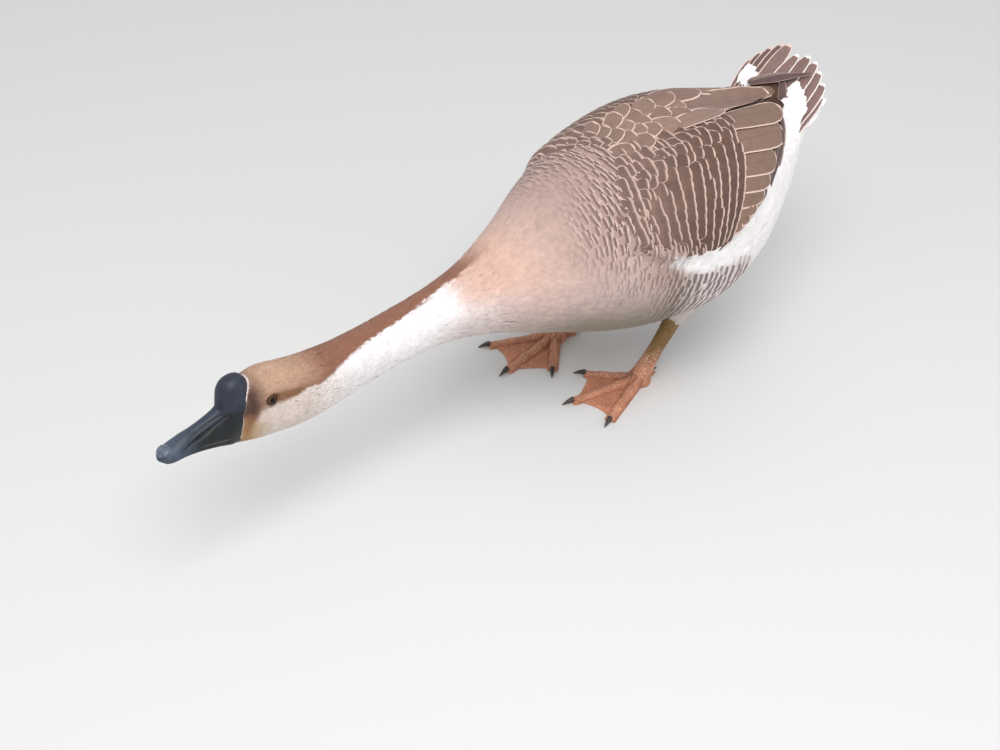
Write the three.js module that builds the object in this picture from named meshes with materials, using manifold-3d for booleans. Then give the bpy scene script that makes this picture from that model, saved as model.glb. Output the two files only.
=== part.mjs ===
// A life-size still model of a brown knobbed goose (the domestic swan goose), walking with its neck
// stretched low.
// Millimetres, +Z up, floor at Z 0. The goose faces -Y and its left side is +X.
// The origin is the middle of the model's footprint box, on the floor.
import * as THREE from "three";
import { mergeVertices } from "three/addons/utils/BufferGeometryUtils.js";
import Module from "manifold-3d";

const wasm = await Module();
wasm.setup();

// ---- Driving dimensions -------------------------------------------------------------------------

const gap = 0.35; // clearance between neighbouring pieces
const bodyColumns = 30; // facets round the head, neck and trunk

// Sections of head, neck and trunk. s runs back from the bill's base along the bird. x, y, z place the
// section's centre, side is its half width, up and down are its half heights, and square is its
// superellipse exponent.
const sections = [
  { s: -15, x: 14, y: -465, z: 173, side: 14, up: 30, down: 33, square: 2.2 },
  { s: 0, x: 13, y: -450, z: 172, side: 18, up: 33, down: 35, square: 2.2 },
  { s: 15, x: 12, y: -435, z: 171, side: 22, up: 35, down: 38, square: 2.1 },
  { s: 32, x: 10, y: -418, z: 170, side: 25, up: 34, down: 40, square: 2.1 },
  { s: 52, x: 9, y: -398, z: 169, side: 26, up: 30, down: 43, square: 2 },
  { s: 80, x: 7, y: -370, z: 168, side: 25, up: 25, down: 44, square: 2 },
  { s: 120, x: 5, y: -330, z: 168, side: 24, up: 22, down: 39, square: 2 },
  { s: 180, x: 3, y: -270, z: 169, side: 25, up: 26, down: 30, square: 2 },
  { s: 235, x: 1, y: -215, z: 170, side: 30, up: 31, down: 31, square: 2 },
  { s: 285, x: 0, y: -166, z: 170, side: 43, up: 41, down: 42, square: 2 },
  { s: 335, x: 0, y: -117, z: 173, side: 63, up: 58, down: 65, square: 2 },
  { s: 400, x: 0, y: -52, z: 178, side: 92, up: 87, down: 91, square: 2.1 },
  { s: 465, x: 0, y: 13, z: 182, side: 106, up: 99, down: 108, square: 2.15 },
  { s: 530, x: 0, y: 78, z: 188, side: 108, up: 100, down: 118, square: 2.15 },
  { s: 590, x: 0, y: 137, z: 197, side: 92, up: 88, down: 104, square: 2.1 },
  { s: 640, x: -1, y: 184, z: 211, side: 66, up: 63, down: 73, square: 2.1 },
  { s: 682, x: -4, y: 222, z: 229, side: 46, up: 34, down: 42, square: 2.1 },
  { s: 712, x: -7, y: 249, z: 245, side: 36, up: 15, down: 18, square: 2.1 },
  { s: 733, x: -8, y: 268, z: 256, side: 20, up: 5, down: 7, square: 2.1 },
];
const cuts = { head: -15, neckUpper: 88, neckLower: 190, breast: 290, trunk: 430, rump: 590, end: 733 };
// Where the face's feathers stop: how far ahead of s 0 on the brow and under the chin.
const faceLine = { brow: 14, chin: 9 };

// ---- Small maths --------------------------------------------------------------------------------

const { sin, cos, abs, sqrt, max, min, sign, PI } = Math;
const radians = (degrees) => (degrees * PI) / 180;
const mix = (a, b, t) => a + (b - a) * t;
const clamp = (x, low = 0, high = 1) => min(high, max(low, x));
const smooth = (low, high, x) => {
  const t = clamp((x - low) / (high - low));
  return t * t * (3 - 2 * t);
};
const steps = (count, f) => Array.from({ length: count + 1 }, (_, i) => f(i / count, i));

// Cubic through the rows of a table, by its column "s".
function along(rows, key, s) {
  const slope = (i) => {
    const a = rows[max(i - 1, 0)];
    const b = rows[min(i + 1, rows.length - 1)];
    return (b[key] - a[key]) / (b.s - a.s);
  };
  let i = rows.findIndex((row) => row.s > s) - 1;
  if (i < 0) i = s < rows[0].s ? 0 : rows.length - 2;
  const h = rows[i + 1].s - rows[i].s;
  const t = (s - rows[i].s) / h;
  const [t2, t3] = [t * t, t * t * t];
  return (
    (2 * t3 - 3 * t2 + 1) * rows[i][key] +
    (t3 - 2 * t2 + t) * h * slope(i) +
    (3 * t2 - 2 * t3) * rows[i + 1][key] +
    (t3 - t2) * h * slope(i + 1)
  );
}

// ---- Solids -------------------------------------------------------------------------------------

// A closed solid from loops of points, one after the other, with a fan over each end. The loops of a bent
// sheet run out along one face and back along the other, and strips between the faces close its ends.
function loft(loops, sheet = false) {
  const columns = loops[0].length;
  const points = loops.flat();
  const triangles = [];
  const corner = (row, column) => row * columns + (column % columns);
  for (let row = 0; row + 1 < loops.length; row++)
    for (let column = 0; column < columns; column++) {
      const [a, b] = [corner(row, column), corner(row, column + 1)];
      const [c, d] = [corner(row + 1, column), corner(row + 1, column + 1)];
      triangles.push([a, b, d], [a, d, c]);
    }
  for (const [row, turn] of [[0, true], [loops.length - 1, false]]) {
    const cap = [];
    if (sheet) {
      for (let i = 0; i < columns / 2 - 1; i++) {
        const [a, b, c, d] = [i, i + 1, columns - 2 - i, columns - 1 - i].map((k) => corner(row, k));
        cap.push([a, b, c], [a, c, d]);
      }
    } else {
      const middle = new THREE.Vector3();
      loops[row].forEach((p) => middle.addScaledVector(p, 1 / columns));
      points.push(middle);
      for (let i = 0; i < columns; i++) cap.push([corner(row, i), corner(row, i + 1), points.length - 1]);
    }
    triangles.push(...cap.map(([a, b, c]) => (turn ? [b, a, c] : [a, b, c])));
  }
  return closed(points, triangles);
}

// Points and triangles as a manifold-3d solid whose faces point out.
function closed(points, triangles) {
  const volume = triangles.reduce((sum, [a, b, c]) => {
    return sum + points[a].dot(points[b].clone().cross(points[c]));
  }, 0);
  const order = volume < 0 ? triangles.map(([a, b, c]) => [a, c, b]) : triangles;
  const geometry = new THREE.BufferGeometry()
    .setAttribute("position", new THREE.Float32BufferAttribute(points.flatMap((p) => p.toArray()), 3))
    .setIndex(order.flat());
  const merged = mergeVertices(geometry, 1e-3);
  const triVerts = merged.index.array.filter((_, i, all) => {
    const [a, b, c] = all.slice(i - (i % 3), i - (i % 3) + 3);
    return a !== b && b !== c && c !== a;
  });
  const vertProperties = new Float32Array(merged.attributes.position.array);
  const mesh = new wasm.Mesh({ numProp: 3, vertProperties, triVerts: new Uint32Array(triVerts) });
  return new wasm.Manifold(mesh);
}

const root = new THREE.Group();

function addNode(name, solid, material) {
  const { numProp, vertProperties, triVerts } = solid.getMesh();
  const positions = new Float32Array((vertProperties.length / numProp) * 3);
  for (let i = 0; i < positions.length / 3; i++)
    positions.set(vertProperties.subarray(i * numProp, i * numProp + 3), i * 3);
  const geometry = new THREE.BufferGeometry()
    .setAttribute("position", new THREE.BufferAttribute(positions, 3))
    .setIndex(new THREE.BufferAttribute(triVerts, 1));
  geometry.computeVertexNormals();
  const mesh = new THREE.Mesh(geometry, material);
  mesh.name = name;
  root.add(mesh);
}

const finish = (color, roughness) => new THREE.MeshStandardMaterial({ color, roughness, metalness: 0 });
const materials = {
  crown: finish(0x9c6f55, 0.9),
  pale: finish(0xe6dcd6, 0.9),
  breast: finish(0xc9ada0, 0.9),
  back: finish(0x80685c, 0.85),
  white: finish(0xf0ecec, 0.9),
  bill: finish(0x3d434d, 0.45),
  nail: finish(0x6d7a83, 0.4),
  eye: finish(0x2a1a12, 0.1),
  leg: finish(0xa8714f, 0.6),
  claw: finish(0x4a3d33, 0.5),
};

// ---- Head, neck and trunk -----------------------------------------------------------------------

// The section at s: its centre and the directions back, left and up.
function bodyFrame(s) {
  const at = (where) => new THREE.Vector3(...["x", "y", "z"].map((key) => along(sections, key, where)));
  const back = at(s + 1).sub(at(s - 1)).normalize();
  const left = new THREE.Vector3(back.y, -back.x, 0).normalize();
  return { centre: at(s), back, left, up: left.clone().cross(back) };
}

// A point of the body's surface. v turns from the back (0) over the left side (PI / 2) to the belly (PI).
function bodyPoint(s, v, lift = 0) {
  const { centre, left, up } = bodyFrame(s);
  const power = 2 / along(sections, "square", s);
  const side = along(sections, "side", s) + lift;
  const height = along(sections, cos(v) > 0 ? "up" : "down", s) + lift;
  return centre
    .addScaledVector(left, side * sign(sin(v)) * abs(sin(v)) ** power)
    .addScaledVector(up, height * sign(cos(v)) * abs(cos(v)) ** power);
}

const rowSpacing = (s) => (s < 90 ? 12 : 20);

function bodyStations(from, to) {
  const stations = [from];
  while (stations.at(-1) + 1.5 * rowSpacing(stations.at(-1)) < to)
    stations.push(stations.at(-1) + rowSpacing(stations.at(-1)));
  return [...stations, to];
}

// The front edge of the face's feathers, which bends back at the sides of the head.
const faceEdge = (v) => -(cos(v) > 0 ? faceLine.brow : faceLine.chin) * cos(v) ** 2;

function bodySolid(from, to, lift = 0) {
  const face = (s, v) => max(s, faceEdge(v) - lift + (s - from) * 0.02);
  const ring = (s) => steps(bodyColumns - 1, (_, i) => {
    const v = (2 * PI * i) / bodyColumns;
    return bodyPoint(face(s, v), v, lift);
  });
  return loft(bodyStations(from, to).map(ring));
}

// The whole body a little larger, to trim whatever lies on it.
const grownBody = bodySolid(cuts.head - 2 * gap, cuts.end, 2 * gap);

// ---- Bill, in the head's own frame -----------------------------------------------------------------

const bill = {
  pitch: 4, // degrees that the cutting edge rises above the head's axis, going forward
  length: 85,
  tomium: -22.5, // height of the cutting edge above the axis, at the base
};
// Half width, height of the ridge above the cutting edge, and depth of the lower bill, along the bill.
const billRows = [
  { s: -12, width: 17.5, ridge: 54, under: 13 },
  { s: 0, width: 17, ridge: 48, under: 12 },
  { s: 14, width: 16.5, ridge: 40, under: 9.5 },
  { s: 30, width: 14.5, ridge: 28.5, under: 7 },
  { s: 48, width: 12.8, ridge: 19.5, under: 5.5 },
  { s: 64, width: 12.4, ridge: 14.5, under: 4.6 },
  { s: 75, width: 12, ridge: 11, under: 4 },
  { s: 82, width: 9.8, ridge: 8, under: 3.2 },
  { s: 85, width: 6.5, ridge: 5.2, under: 2.2 },
];

const headFrame = bodyFrame(0);
const forward = headFrame.back.clone().negate();

// A point in the bill's frame: q forward from its base, x to the left and z up from the cutting edge.
function billPoint(q, x, z) {
  const pitch = radians(bill.pitch);
  const h = q * cos(pitch) - z * sin(pitch);
  const v = q * sin(pitch) + z * cos(pitch) + bill.tomium;
  return headFrame.centre.clone().addScaledVector(forward, h).addScaledVector(headFrame.left, x)
    .addScaledVector(headFrame.up, v);
}

// The cutting edge curves up a little behind the middle, as a goose's does.
const tomiumRise = (q) => 1.6 * sin(PI * clamp(q / bill.length)) - 2.2 * smooth(58, 85, q);

function billSection(q, grow, isUpper) {
  const width = along(billRows, "width", q) + grow - (isUpper ? 0 : 1.4);
  const height = along(billRows, isUpper ? "ridge" : "under", q) + grow;
  const power = isUpper ? 1.25 : 1;
  const dome = steps(10, (t) => {
    const angle = PI * t;
    return [width * cos(angle), height * sin(angle) ** power];
  });
  const flat = steps(2, (t) => [mix(-width, width, t), 0]).slice(1, -1);
  const base = tomiumRise(q) + (isUpper ? gap / 2 : -gap / 2);
  return [...dome, ...flat].map(([x, z]) => billPoint(q, x, base + (isUpper ? z : -z)));
}

const billStations = [-4, 9, 18, 30, 44, 60, 72, 79, 83, 85];

function billHalf(isUpper, grow = 0, from = 0) {
  const last = isUpper ? 1 : 0.95;
  const stations = billStations.map((q) => q * last).filter((q) => q >= from);
  return loft(stations.map((q) => billSection(q, grow, isUpper)));
}

// A rounded bead on the bill. t runs from 0 at its rear end to 1 at its front end, and middle(t) is its
// height.
function bead({ start, length, width, height, middle, fullness }, grow = 0) {
  const rings = steps(9, (t) => {
    const swell = max(0.03, 1 - abs(2 * t - 1) ** fullness) ** (1 / fullness);
    const q = start - grow + (length + 2 * grow) * t;
    return steps(13, (_, i) => {
      const angle = (2 * PI * i) / 14;
      const x = (width * swell + grow) * cos(angle);
      return billPoint(q, x, middle(t) + (height * swell + grow) * sin(angle));
    });
  });
  return loft(rings);
}
const knob = {
  start: -8,
  length: 34.5,
  width: 13.8,
  height: 17.2,
  fullness: 2.3,
  middle: (t) => 48.4 - 6.5 * t,
};
const nail = {
  start: 73,
  length: 14,
  width: 7.6,
  height: 5,
  fullness: 2,
  middle: (t) => 7 - 4 * t * t,
};

// ---- Eyes ---------------------------------------------------------------------------------------

const eye = { s: 21.5, v: 70, radius: 7.5, proud: 0.9 };

function eyeball(side, grow = 0) {
  const out = bodyPoint(eye.s, side * radians(eye.v));
  const inward = bodyPoint(eye.s, side * radians(eye.v), -10).sub(out).normalize();
  const centre = out.addScaledVector(inward, eye.radius - eye.proud);
  const ball = new THREE.SphereGeometry(eye.radius + grow, 12, 8).translate(...centre.toArray());
  ball.deleteAttribute("normal");
  ball.deleteAttribute("uv");
  const merged = mergeVertices(ball, 1e-3);
  const points = [];
  for (let i = 0; i < merged.attributes.position.count; i++)
    points.push(new THREE.Vector3().fromBufferAttribute(merged.attributes.position, i));
  const triangles = [];
  for (let i = 0; i < merged.index.count; i += 3) triangles.push([...merged.index.array.slice(i, i + 3)]);
  return closed(points, triangles);
}

// ---- Folded wings -------------------------------------------------------------------------------

// A folded wing is a plate on the flank. At each row, s is its place along the body, upper and lower are
// its edges in degrees round the body, and lift is its height above its rim at mid width.
const wingRows = [
  { s: 408, upper: 48, lower: 60, lift: 2.5 },
  { s: 425, upper: 36, lower: 72, lift: 4 },
  { s: 450, upper: 30, lower: 81, lift: 5 },
  { s: 494, upper: 26, lower: 86, lift: 6 },
  { s: 545, upper: 22, lower: 88, lift: 7 },
  { s: 590, upper: 17, lower: 80, lift: 9 },
  { s: 630, upper: 12, lower: 66, lift: 12 },
  { s: 662, upper: 8, lower: 50, lift: 14 },
  { s: 686, upper: 8, lower: 32, lift: 14 },
];
const wing = { seam: 575, under: 3.2, rim: 0.9, columns: 9, rowStep: 20 };

function wingPlate(side, from, to) {
  const count = Math.round((to - from) / wing.rowStep);
  const rows = steps(count, (t) => {
    const s = mix(from, to, t);
    const [upper, lower] = ["upper", "lower"].map((key) => radians(along(wingRows, key, s)));
    const lift = along(wingRows, "lift", s);
    const face = (g, height) => bodyPoint(s, side * mix(upper, lower, g), height);
    const crown = (g) => mix(wing.rim, lift, sqrt(max(0, 1 - abs(2 * g - 1) ** 3)));
    const outer = steps(wing.columns, (g) => face(g, wing.under + crown(g)));
    const inner = steps(wing.columns, (g) => face(1 - g, wing.under));
    return [...outer, ...inner];
  });
  return loft(rows, true);
}

// ---- Tail and wing tips -------------------------------------------------------------------------

// The tail is a fan round a pivot inside the rump. Lengths along and across it are measured from the
// spine's place at s "origin", and it lies "height" above the spine.
const tail = {
  origin: 712,
  pivot: -108,
  aside: -6, // of the pivot, towards the bird's right
  height: 19,
  start: 60,
  length: 160,
  spread: 22, // degrees to each side
  turn: -4, // degrees, towards the bird's right
  roll: 9, // degrees, right side up
  feathers: 10,
  scallop: 5,
  vault: 0.0018, // how the sides droop, per millimetre squared
  thickness: [3, 1.6],
};
// The longest wing feathers cross over the tail, the right wing's above the left wing's.
const wingTips = {
  left: { base: { x: 22, along: -22, rise: 4 }, end: { x: -11, along: 17, rise: 3.6 } },
  right: { base: { x: -27, along: -15, rise: 9 }, end: { x: 17, along: 30, rise: 8 } },
};
const blade = { width: 12, thickness: 2.6, tip: 1 };

const tailFrame = bodyFrame(tail.origin);

function tailPoint(x, along, rise) {
  const droop = tail.vault * x * x + x * sin(radians(tail.roll));
  return tailFrame.centre.clone().addScaledVector(tailFrame.back, along).addScaledVector(tailFrame.left, x)
    .addScaledVector(tailFrame.up, tail.height - droop + rise);
}

function tailFan() {
  const reach = (edge) => {
    const feather = abs(sin((edge + 1) * 0.5 * PI * tail.feathers));
    return tail.length * (1 - 0.09 * edge * edge) - tail.scallop * (1 - sqrt(feather));
  };
  const rings = steps(4, (t) => {
    const layer = (low) => steps(tail.feathers * 3, (g) => {
      const edge = low ? 1 - 2 * g : 2 * g - 1;
      const angle = radians(tail.spread * edge + tail.turn);
      const r = mix(tail.start, reach(edge), t);
      const half = mix(...tail.thickness, t) / 2;
      return tailPoint(tail.aside + r * sin(angle), tail.pivot + r * cos(angle), low ? -half : half);
    });
    return [...layer(false), ...layer(true)];
  });
  return loft(rings, true);
}

function wingTip({ base, end }) {
  const place = (key, t) => mix(base[key], end[key], t);
  const aim = Math.atan2(end.along - base.along, end.x - base.x);
  const rows = steps(6, (t) => {
    const half = blade.width * (1 - 0.4 * t) * sqrt(max(0.05, 1 - t ** 4));
    const depth = mix(blade.thickness, blade.tip, t) / 2;
    return steps(9, (_, i) => {
      const across = half * cos((2 * PI * i) / 10);
      const [x, along] = [place("x", t) + across * sin(aim), place("along", t) - across * cos(aim)];
      return tailPoint(x, along, place("rise", t) + depth * sin((2 * PI * i) / 10));
    });
  });
  return loft(rows);
}

// ---- Legs and feet ------------------------------------------------------------------------------

// heading is the middle toe's direction in degrees from straight ahead, positive towards the bird's left.
const legs = {
  left: { side: 1, ankle: [43, 17], heading: -11, hock: [52, 54, 79], knee: [62, 58, 131] },
  right: { side: -1, ankle: [-72, -7], heading: 11, hock: [-64, 42, 79], knee: [-64, 40, 131] },
};
// Toes of a left foot: angle from the heading in degrees, length, half width and ridge height near the joint.
const toes = [
  { name: "inner", angle: -37, length: 61, width: 6, height: 11 },
  { name: "middle", angle: 0, length: 83, width: 6.4, height: 12 },
  { name: "outer", angle: 36, length: 77, width: 6.2, height: 11 },
  { name: "hind", angle: -156, length: 24, width: 4.6, height: 8 },
];
const foot = { web: 2.2, hub: 12, hubHeight: 15, scallop: 0.17, rings: 5 };
const shank = { widths: [9.5, 7.3, 7, 8], columns: 10 };
const claw = { length: 11, width: 3, height: 3.4 };

// How far the foot reaches in a direction, in degrees from its heading: toes, scalloped web and hub.
function footReach(angle) {
  const bump = ({ angle: toe, length, width }) => {
    const off = abs(radians(angle - toe));
    return off < 1.2 ? min(length, width / max(sin(off), 1e-3)) : 0;
  };
  const [inner, middle, outer] = toes;
  const web = (a, b) => {
    const t = (angle - a.angle) / (b.angle - a.angle);
    if (t < 0 || t > 1) return 0;
    return mix(a.length, b.length, t) * (1 - foot.scallop * sqrt(sin(PI * t)));
  };
  return max(foot.hub, ...toes.map(bump), web(inner, middle), web(middle, outer));
}

// Height of the foot's top, r from the joint in a direction.
function footHeight(r, angle) {
  const ridge = ({ angle: toe, length, width, height }) => {
    const off = radians(angle - toe);
    const [ahead, beside] = [r * cos(off), abs(r * sin(off))];
    if (ahead < 0) return 0;
    const swell = mix(1, 0.8, clamp(ahead / length)) * (1 + 0.06 * cos((ahead / length) * 6 * PI));
    const t = beside / (width * swell);
    return t < 1 ? mix(height, 5.5, clamp(ahead / length)) * swell * sqrt(1 - t * t) : 0;
  };
  const hub = foot.hubHeight * smooth(1.15, 0.68, r / foot.hub);
  return min(foot.hubHeight, max(foot.web, hub, ...toes.map(ridge)));
}

const footAngles = (() => {
  const near = [-9, -5, -2, 2, 5, 9];
  const web = [-1, 1].flatMap((hand) => [12, 15, 18, 21, 24, 28].map((d) => hand * d));
  const all = [...toes.slice(0, 3).flatMap((toe) => near.map((d) => toe.angle + d)), ...web];
  const rear = [60, 80, 105, 130, 155, 178, 190, 196, 201, 204, 207, 212, 218, 228, 250, 275, 295, 308];
  const kept = [...new Set(all.map((angle) => (angle + 360) % 360)), ...rear].sort((a, b) => a - b);
  return kept.filter((angle, i) => i === 0 || angle - kept[i - 1] > 1.5);
})();

function footSolid({ side, ankle, heading }) {
  const place = (r, angle, z) => {
    const turn = radians(heading + side * angle);
    return new THREE.Vector3(ankle[0] + r * sin(turn), ankle[1] - r * cos(turn), z);
  };
  const signed = (angle) => (angle > 180 ? angle - 360 : angle);
  const top = steps(foot.rings, (t) => footAngles.map((raw) => {
    const angle = signed(raw);
    const r = mix(foot.hub * 0.65, footReach(angle), t);
    return place(r, angle, footHeight(r, angle) * (t === 1 ? 0.72 : 1));
  }));
  const sole = footAngles.map((raw) => place(footReach(signed(raw)) - 0.4, signed(raw), 0));
  return loft([...top, sole]);
}

// A tapered claw ahead of a toe's tip, bent down to the floor.
function clawSolid({ side, ankle, heading }, toe) {
  const turn = radians(heading + side * toe.angle);
  const ahead = new THREE.Vector3(sin(turn), -cos(turn), 0);
  const across = new THREE.Vector3(cos(turn), sin(turn), 0);
  const reach = toe.name === "hind" ? 0.7 : 1;
  const rings = steps(3, (t) => {
    const size = reach * mix(1, 0.18, t);
    const centre = new THREE.Vector3(ankle[0], ankle[1], mix(4.2, 1.2, t * t))
      .addScaledVector(ahead, toe.length + gap + claw.length * reach * t);
    return steps(5, (_, i) => {
      const angle = (2 * PI * i) / 6;
      return centre.clone().addScaledVector(across, claw.width * size * cos(angle))
        .add(new THREE.Vector3(0, 0, claw.height * size * sin(angle)));
    });
  });
  return loft(rings);
}

// A round limb through a list of centres, each with the limb's half width there. Its ends are square to the
// directions given.
function limb(centres, widths, ends, columns) {
  const curve = new THREE.CatmullRomCurve3(centres);
  const rows = 7;
  const rings = steps(rows, (t) => {
    const ahead = curve.getTangent(t);
    const across = new THREE.Vector3(0, ahead.z, -ahead.y).normalize();
    const beside = ahead.clone().cross(across);
    const place = t * (widths.length - 1);
    const i = min(Math.floor(place), widths.length - 2);
    const width = mix(widths[i], widths[i + 1], smooth(0, 1, place - i));
    const normal = t === 0 ? ends[0] : ends[1];
    return steps(columns - 1, (_, k) => {
      const angle = (2 * PI * k) / columns;
      const spoke = across.clone().multiplyScalar(width * cos(angle));
      spoke.addScaledVector(beside, width * sin(angle));
      if (t === 0 || t === 1) spoke.addScaledVector(ahead, -spoke.dot(normal) / ahead.dot(normal));
      return curve.getPoint(t).add(spoke);
    });
  });
  return loft(rings);
}

const point = ([x, y, z]) => new THREE.Vector3(x, y, z);
const thigh = { widths: [50, 46, 30, 11], columns: 18 };

function legSolids(leg) {
  const [knee, hock] = [point(leg.knee), point(leg.hock)];
  const down = hock.clone().sub(knee).normalize();
  const ground = new THREE.Vector3(0, 0, -1);
  const foothold = point([...leg.ankle, foot.hubHeight + gap]);
  const start = hock.clone().addScaledVector(down, gap);
  const shin = [start, start.clone().lerp(foothold, 0.5), foothold];
  return {
    thigh: limb([knee, knee.clone().lerp(hock, 0.5), hock], thigh.widths, [down, down], thigh.columns),
    shank: limb(shin, shank.widths, [down, ground], shank.columns),
  };
}

// ---- Build --------------------------------------------------------------------------------------

const bodyNodes = [
  ["head", cuts.head, cuts.neckUpper, "crown"],
  ["neck_upper", cuts.neckUpper, cuts.neckLower, "pale"],
  ["neck_lower", cuts.neckLower, cuts.breast, "pale"],
  ["breast", cuts.breast, cuts.trunk, "breast"],
  ["trunk", cuts.trunk, cuts.rump, "back"],
  ["rump", cuts.rump, cuts.end, "white"],
];
for (const [name, from, to, material] of bodyNodes) {
  let solid = bodySolid(from + gap / 2, to - gap / 2);
  if (name === "head")
    for (const side of [1, -1]) solid = solid.subtract(eyeball(side, gap));
  addNode(name, solid, materials[material]);
}
addNode("eye_left", eyeball(1), materials.eye);
addNode("eye_right", eyeball(-1), materials.eye);

addNode("knob", bead(knob).subtract(grownBody), materials.bill);
const billUpper = billHalf(true).subtract(bead(knob, gap)).subtract(grownBody).subtract(bead(nail, gap));
addNode("bill_upper", billUpper, materials.bill);
addNode("bill_lower", billHalf(false).subtract(grownBody).subtract(bead(nail, gap)), materials.bill);
addNode("bill_nail", bead(nail), materials.nail);

for (const [side, hand] of [[1, "left"], [-1, "right"]]) {
  const [front, rear] = [wingRows[0].s, wingRows.at(-1).s];
  addNode(`wing_coverts_${hand}`, wingPlate(side, front, wing.seam - gap / 2), materials.back);
  addNode(`wing_secondaries_${hand}`, wingPlate(side, wing.seam + gap / 2, rear), materials.back);
  addNode(`wing_primaries_${hand}`, wingTip(wingTips[hand]).subtract(grownBody), materials.back);
}
addNode("tail", tailFan().subtract(grownBody), materials.back);

for (const [hand, leg] of Object.entries(legs)) {
  const solids = legSolids(leg);
  addNode(`thigh_${hand}`, solids.thigh.subtract(grownBody), materials.breast);
  addNode(`shank_${hand}`, solids.shank.subtract(grownBody), materials.leg);
  addNode(`foot_${hand}`, footSolid(leg), materials.leg);
  for (const toe of toes) addNode(`claw_${hand}_${toe.name}`, clawSolid(leg, toe), materials.claw);
}

const box = new THREE.Box3().setFromObject(root);
root.position.set(-(box.min.x + box.max.x) / 2, -(box.min.y + box.max.y) / 2, -box.min.z);

export default root;
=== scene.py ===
import math

import bpy
import numpy as np
from mathutils import Matrix, Vector


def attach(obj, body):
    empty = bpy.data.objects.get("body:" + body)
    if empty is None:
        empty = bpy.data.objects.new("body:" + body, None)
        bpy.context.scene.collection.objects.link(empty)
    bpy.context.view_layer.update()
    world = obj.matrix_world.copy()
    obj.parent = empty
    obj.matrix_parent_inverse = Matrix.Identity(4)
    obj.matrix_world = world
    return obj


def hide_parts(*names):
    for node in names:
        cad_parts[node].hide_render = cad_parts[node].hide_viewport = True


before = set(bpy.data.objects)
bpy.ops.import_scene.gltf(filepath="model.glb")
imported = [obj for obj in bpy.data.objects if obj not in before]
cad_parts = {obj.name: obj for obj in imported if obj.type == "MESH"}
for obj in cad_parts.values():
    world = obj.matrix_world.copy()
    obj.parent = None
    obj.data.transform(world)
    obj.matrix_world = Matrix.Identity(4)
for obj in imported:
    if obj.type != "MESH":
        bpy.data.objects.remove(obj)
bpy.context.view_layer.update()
rng = np.random.default_rng(11)
bodyShift = np.array([0, 127.0336, 0])  # from the shape tables below to the frame, in mm

# small maths and meshes


def clamp(x, low=0.0, high=1.0):
    return np.clip(x, low, high)


def ramp(x, low, high):  # smooth step from 0 at low to 1 at high
    t = clamp((np.asarray(x, float) - low) / (high - low))
    return t * t * (3 - 2 * t)


def fall(x, low, high):
    return 1 - ramp(x, low, high)


def bell(x, y=0.0):  # 1 in the middle, falling smoothly to 0
    return np.exp(-(x**2) - y**2)


def mix(a, b, t):
    return a + (b - a) * t


def joined(parts, axis=0):
    return np.concatenate(parts, axis)


def unit(p):
    return p / np.linalg.norm(p, axis=-1, keepdims=True)


def waysOf(angle):  # cosine and sine of an angle in degrees
    turn = np.radians(angle)
    return np.cos(turn), np.sin(turn)


def moved(place, *steps):  # a place moved by pairs of a distance and a direction
    for distance, way in zip(steps[::2], steps[1::2]):
        place = place + distance[..., None] * way
    return place


def matched(*values):
    return np.broadcast_arrays(*(np.asarray(value, float) for value in values))


def walked(path):  # the distance walked to each point of a path
    return joined([[0], np.cumsum(np.linalg.norm(np.diff(path, axis=0), axis=1))])


def fullTurn(count):  # angles round a ring, as a row
    return np.linspace(0, 2 * np.pi, count, endpoint=False)[None, :]


def curve(table, s, column=1):
    # cubic through the rows of a table, whose first column is s, with slopes from the neighbouring rows
    table = np.asarray(table, float)
    places, values = table[:, 0], table[:, column]
    rows = np.pad(table, ((1, 1), (0, 0)), "edge")
    rise = rows[2:] - rows[:-2]
    slopes = rise[:, column] / rise[:, 0]
    i = np.clip(np.searchsorted(places, s, side="right") - 1, 0, len(places) - 2)
    h = places[i + 1] - places[i]
    t = (s - places[i]) / h
    return ((2 * t**3 - 3 * t**2 + 1) * values[i] + (t**3 - 2 * t**2 + t) * h * slopes[i]
            + (3 * t**2 - 2 * t**3) * values[i + 1] + (t**3 - t**2) * h * slopes[i + 1])


def line(table, x, column=1):  # straight lines between the rows of a table
    table = np.asarray(table, float)
    return np.interp(x, table[:, 0], table[:, column])


def gridFaces(rows, columns, start=0):  # quads between neighbouring rows of points, closed round the columns
    row, column = np.arange(rows - 1)[:, None] * columns, np.arange(columns)[None, :]
    beside = (column + 1) % columns
    corners = [row + column, row + beside, row + columns + beside, row + columns + column]
    return start + np.stack(corners, -1).reshape(-1, 4)


def capFaces(ring, middle, turned=False):  # triangles from a ring of points to the point in its middle
    after = np.roll(ring, -1)
    if turned:
        ring, after = after, ring
    return np.stack([after, ring, np.full(len(ring), middle)], -1)


def outwards(points, faceSets):  # turns every face round if the closed surface is inside out
    volume = 0
    for faces in faceSets:
        for k in range(1, faces.shape[1] - 1):
            a, b, c = points[faces[:, 0]], points[faces[:, k]], points[faces[:, k + 1]]
            volume += (a * np.cross(b, c)).sum()
    return faceSets if volume > 0 else [faces[:, ::-1] for faces in faceSets]


def closedTube(rings):
    # points (rows, columns, 3) as a closed surface with a fan over each end
    rows, columns = rings.shape[:2]
    points = joined([rings.reshape(-1, 3), rings[:1].mean(1), rings[-1:].mean(1)])
    count = rows * columns
    ring = np.arange(columns)
    caps = joined([capFaces(ring, count), capFaces(ring + count - columns, count + 1, True)])
    return points, outwards(points, [gridFaces(rows, columns), caps])


def withEnds(rows):  # values on the rings of a closed tube, and their means at its two end points
    ends = [rows[0].mean(0)[None], rows[-1].mean(0)[None]]
    return joined([rows.reshape(-1, 3), *ends])


def evenTint(points, colour):
    return np.zeros((len(points), 3)) + colour


def store(data, field, values, kind=np.float32):
    data.foreach_set(field, np.asarray(values).astype(kind).ravel())


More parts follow.
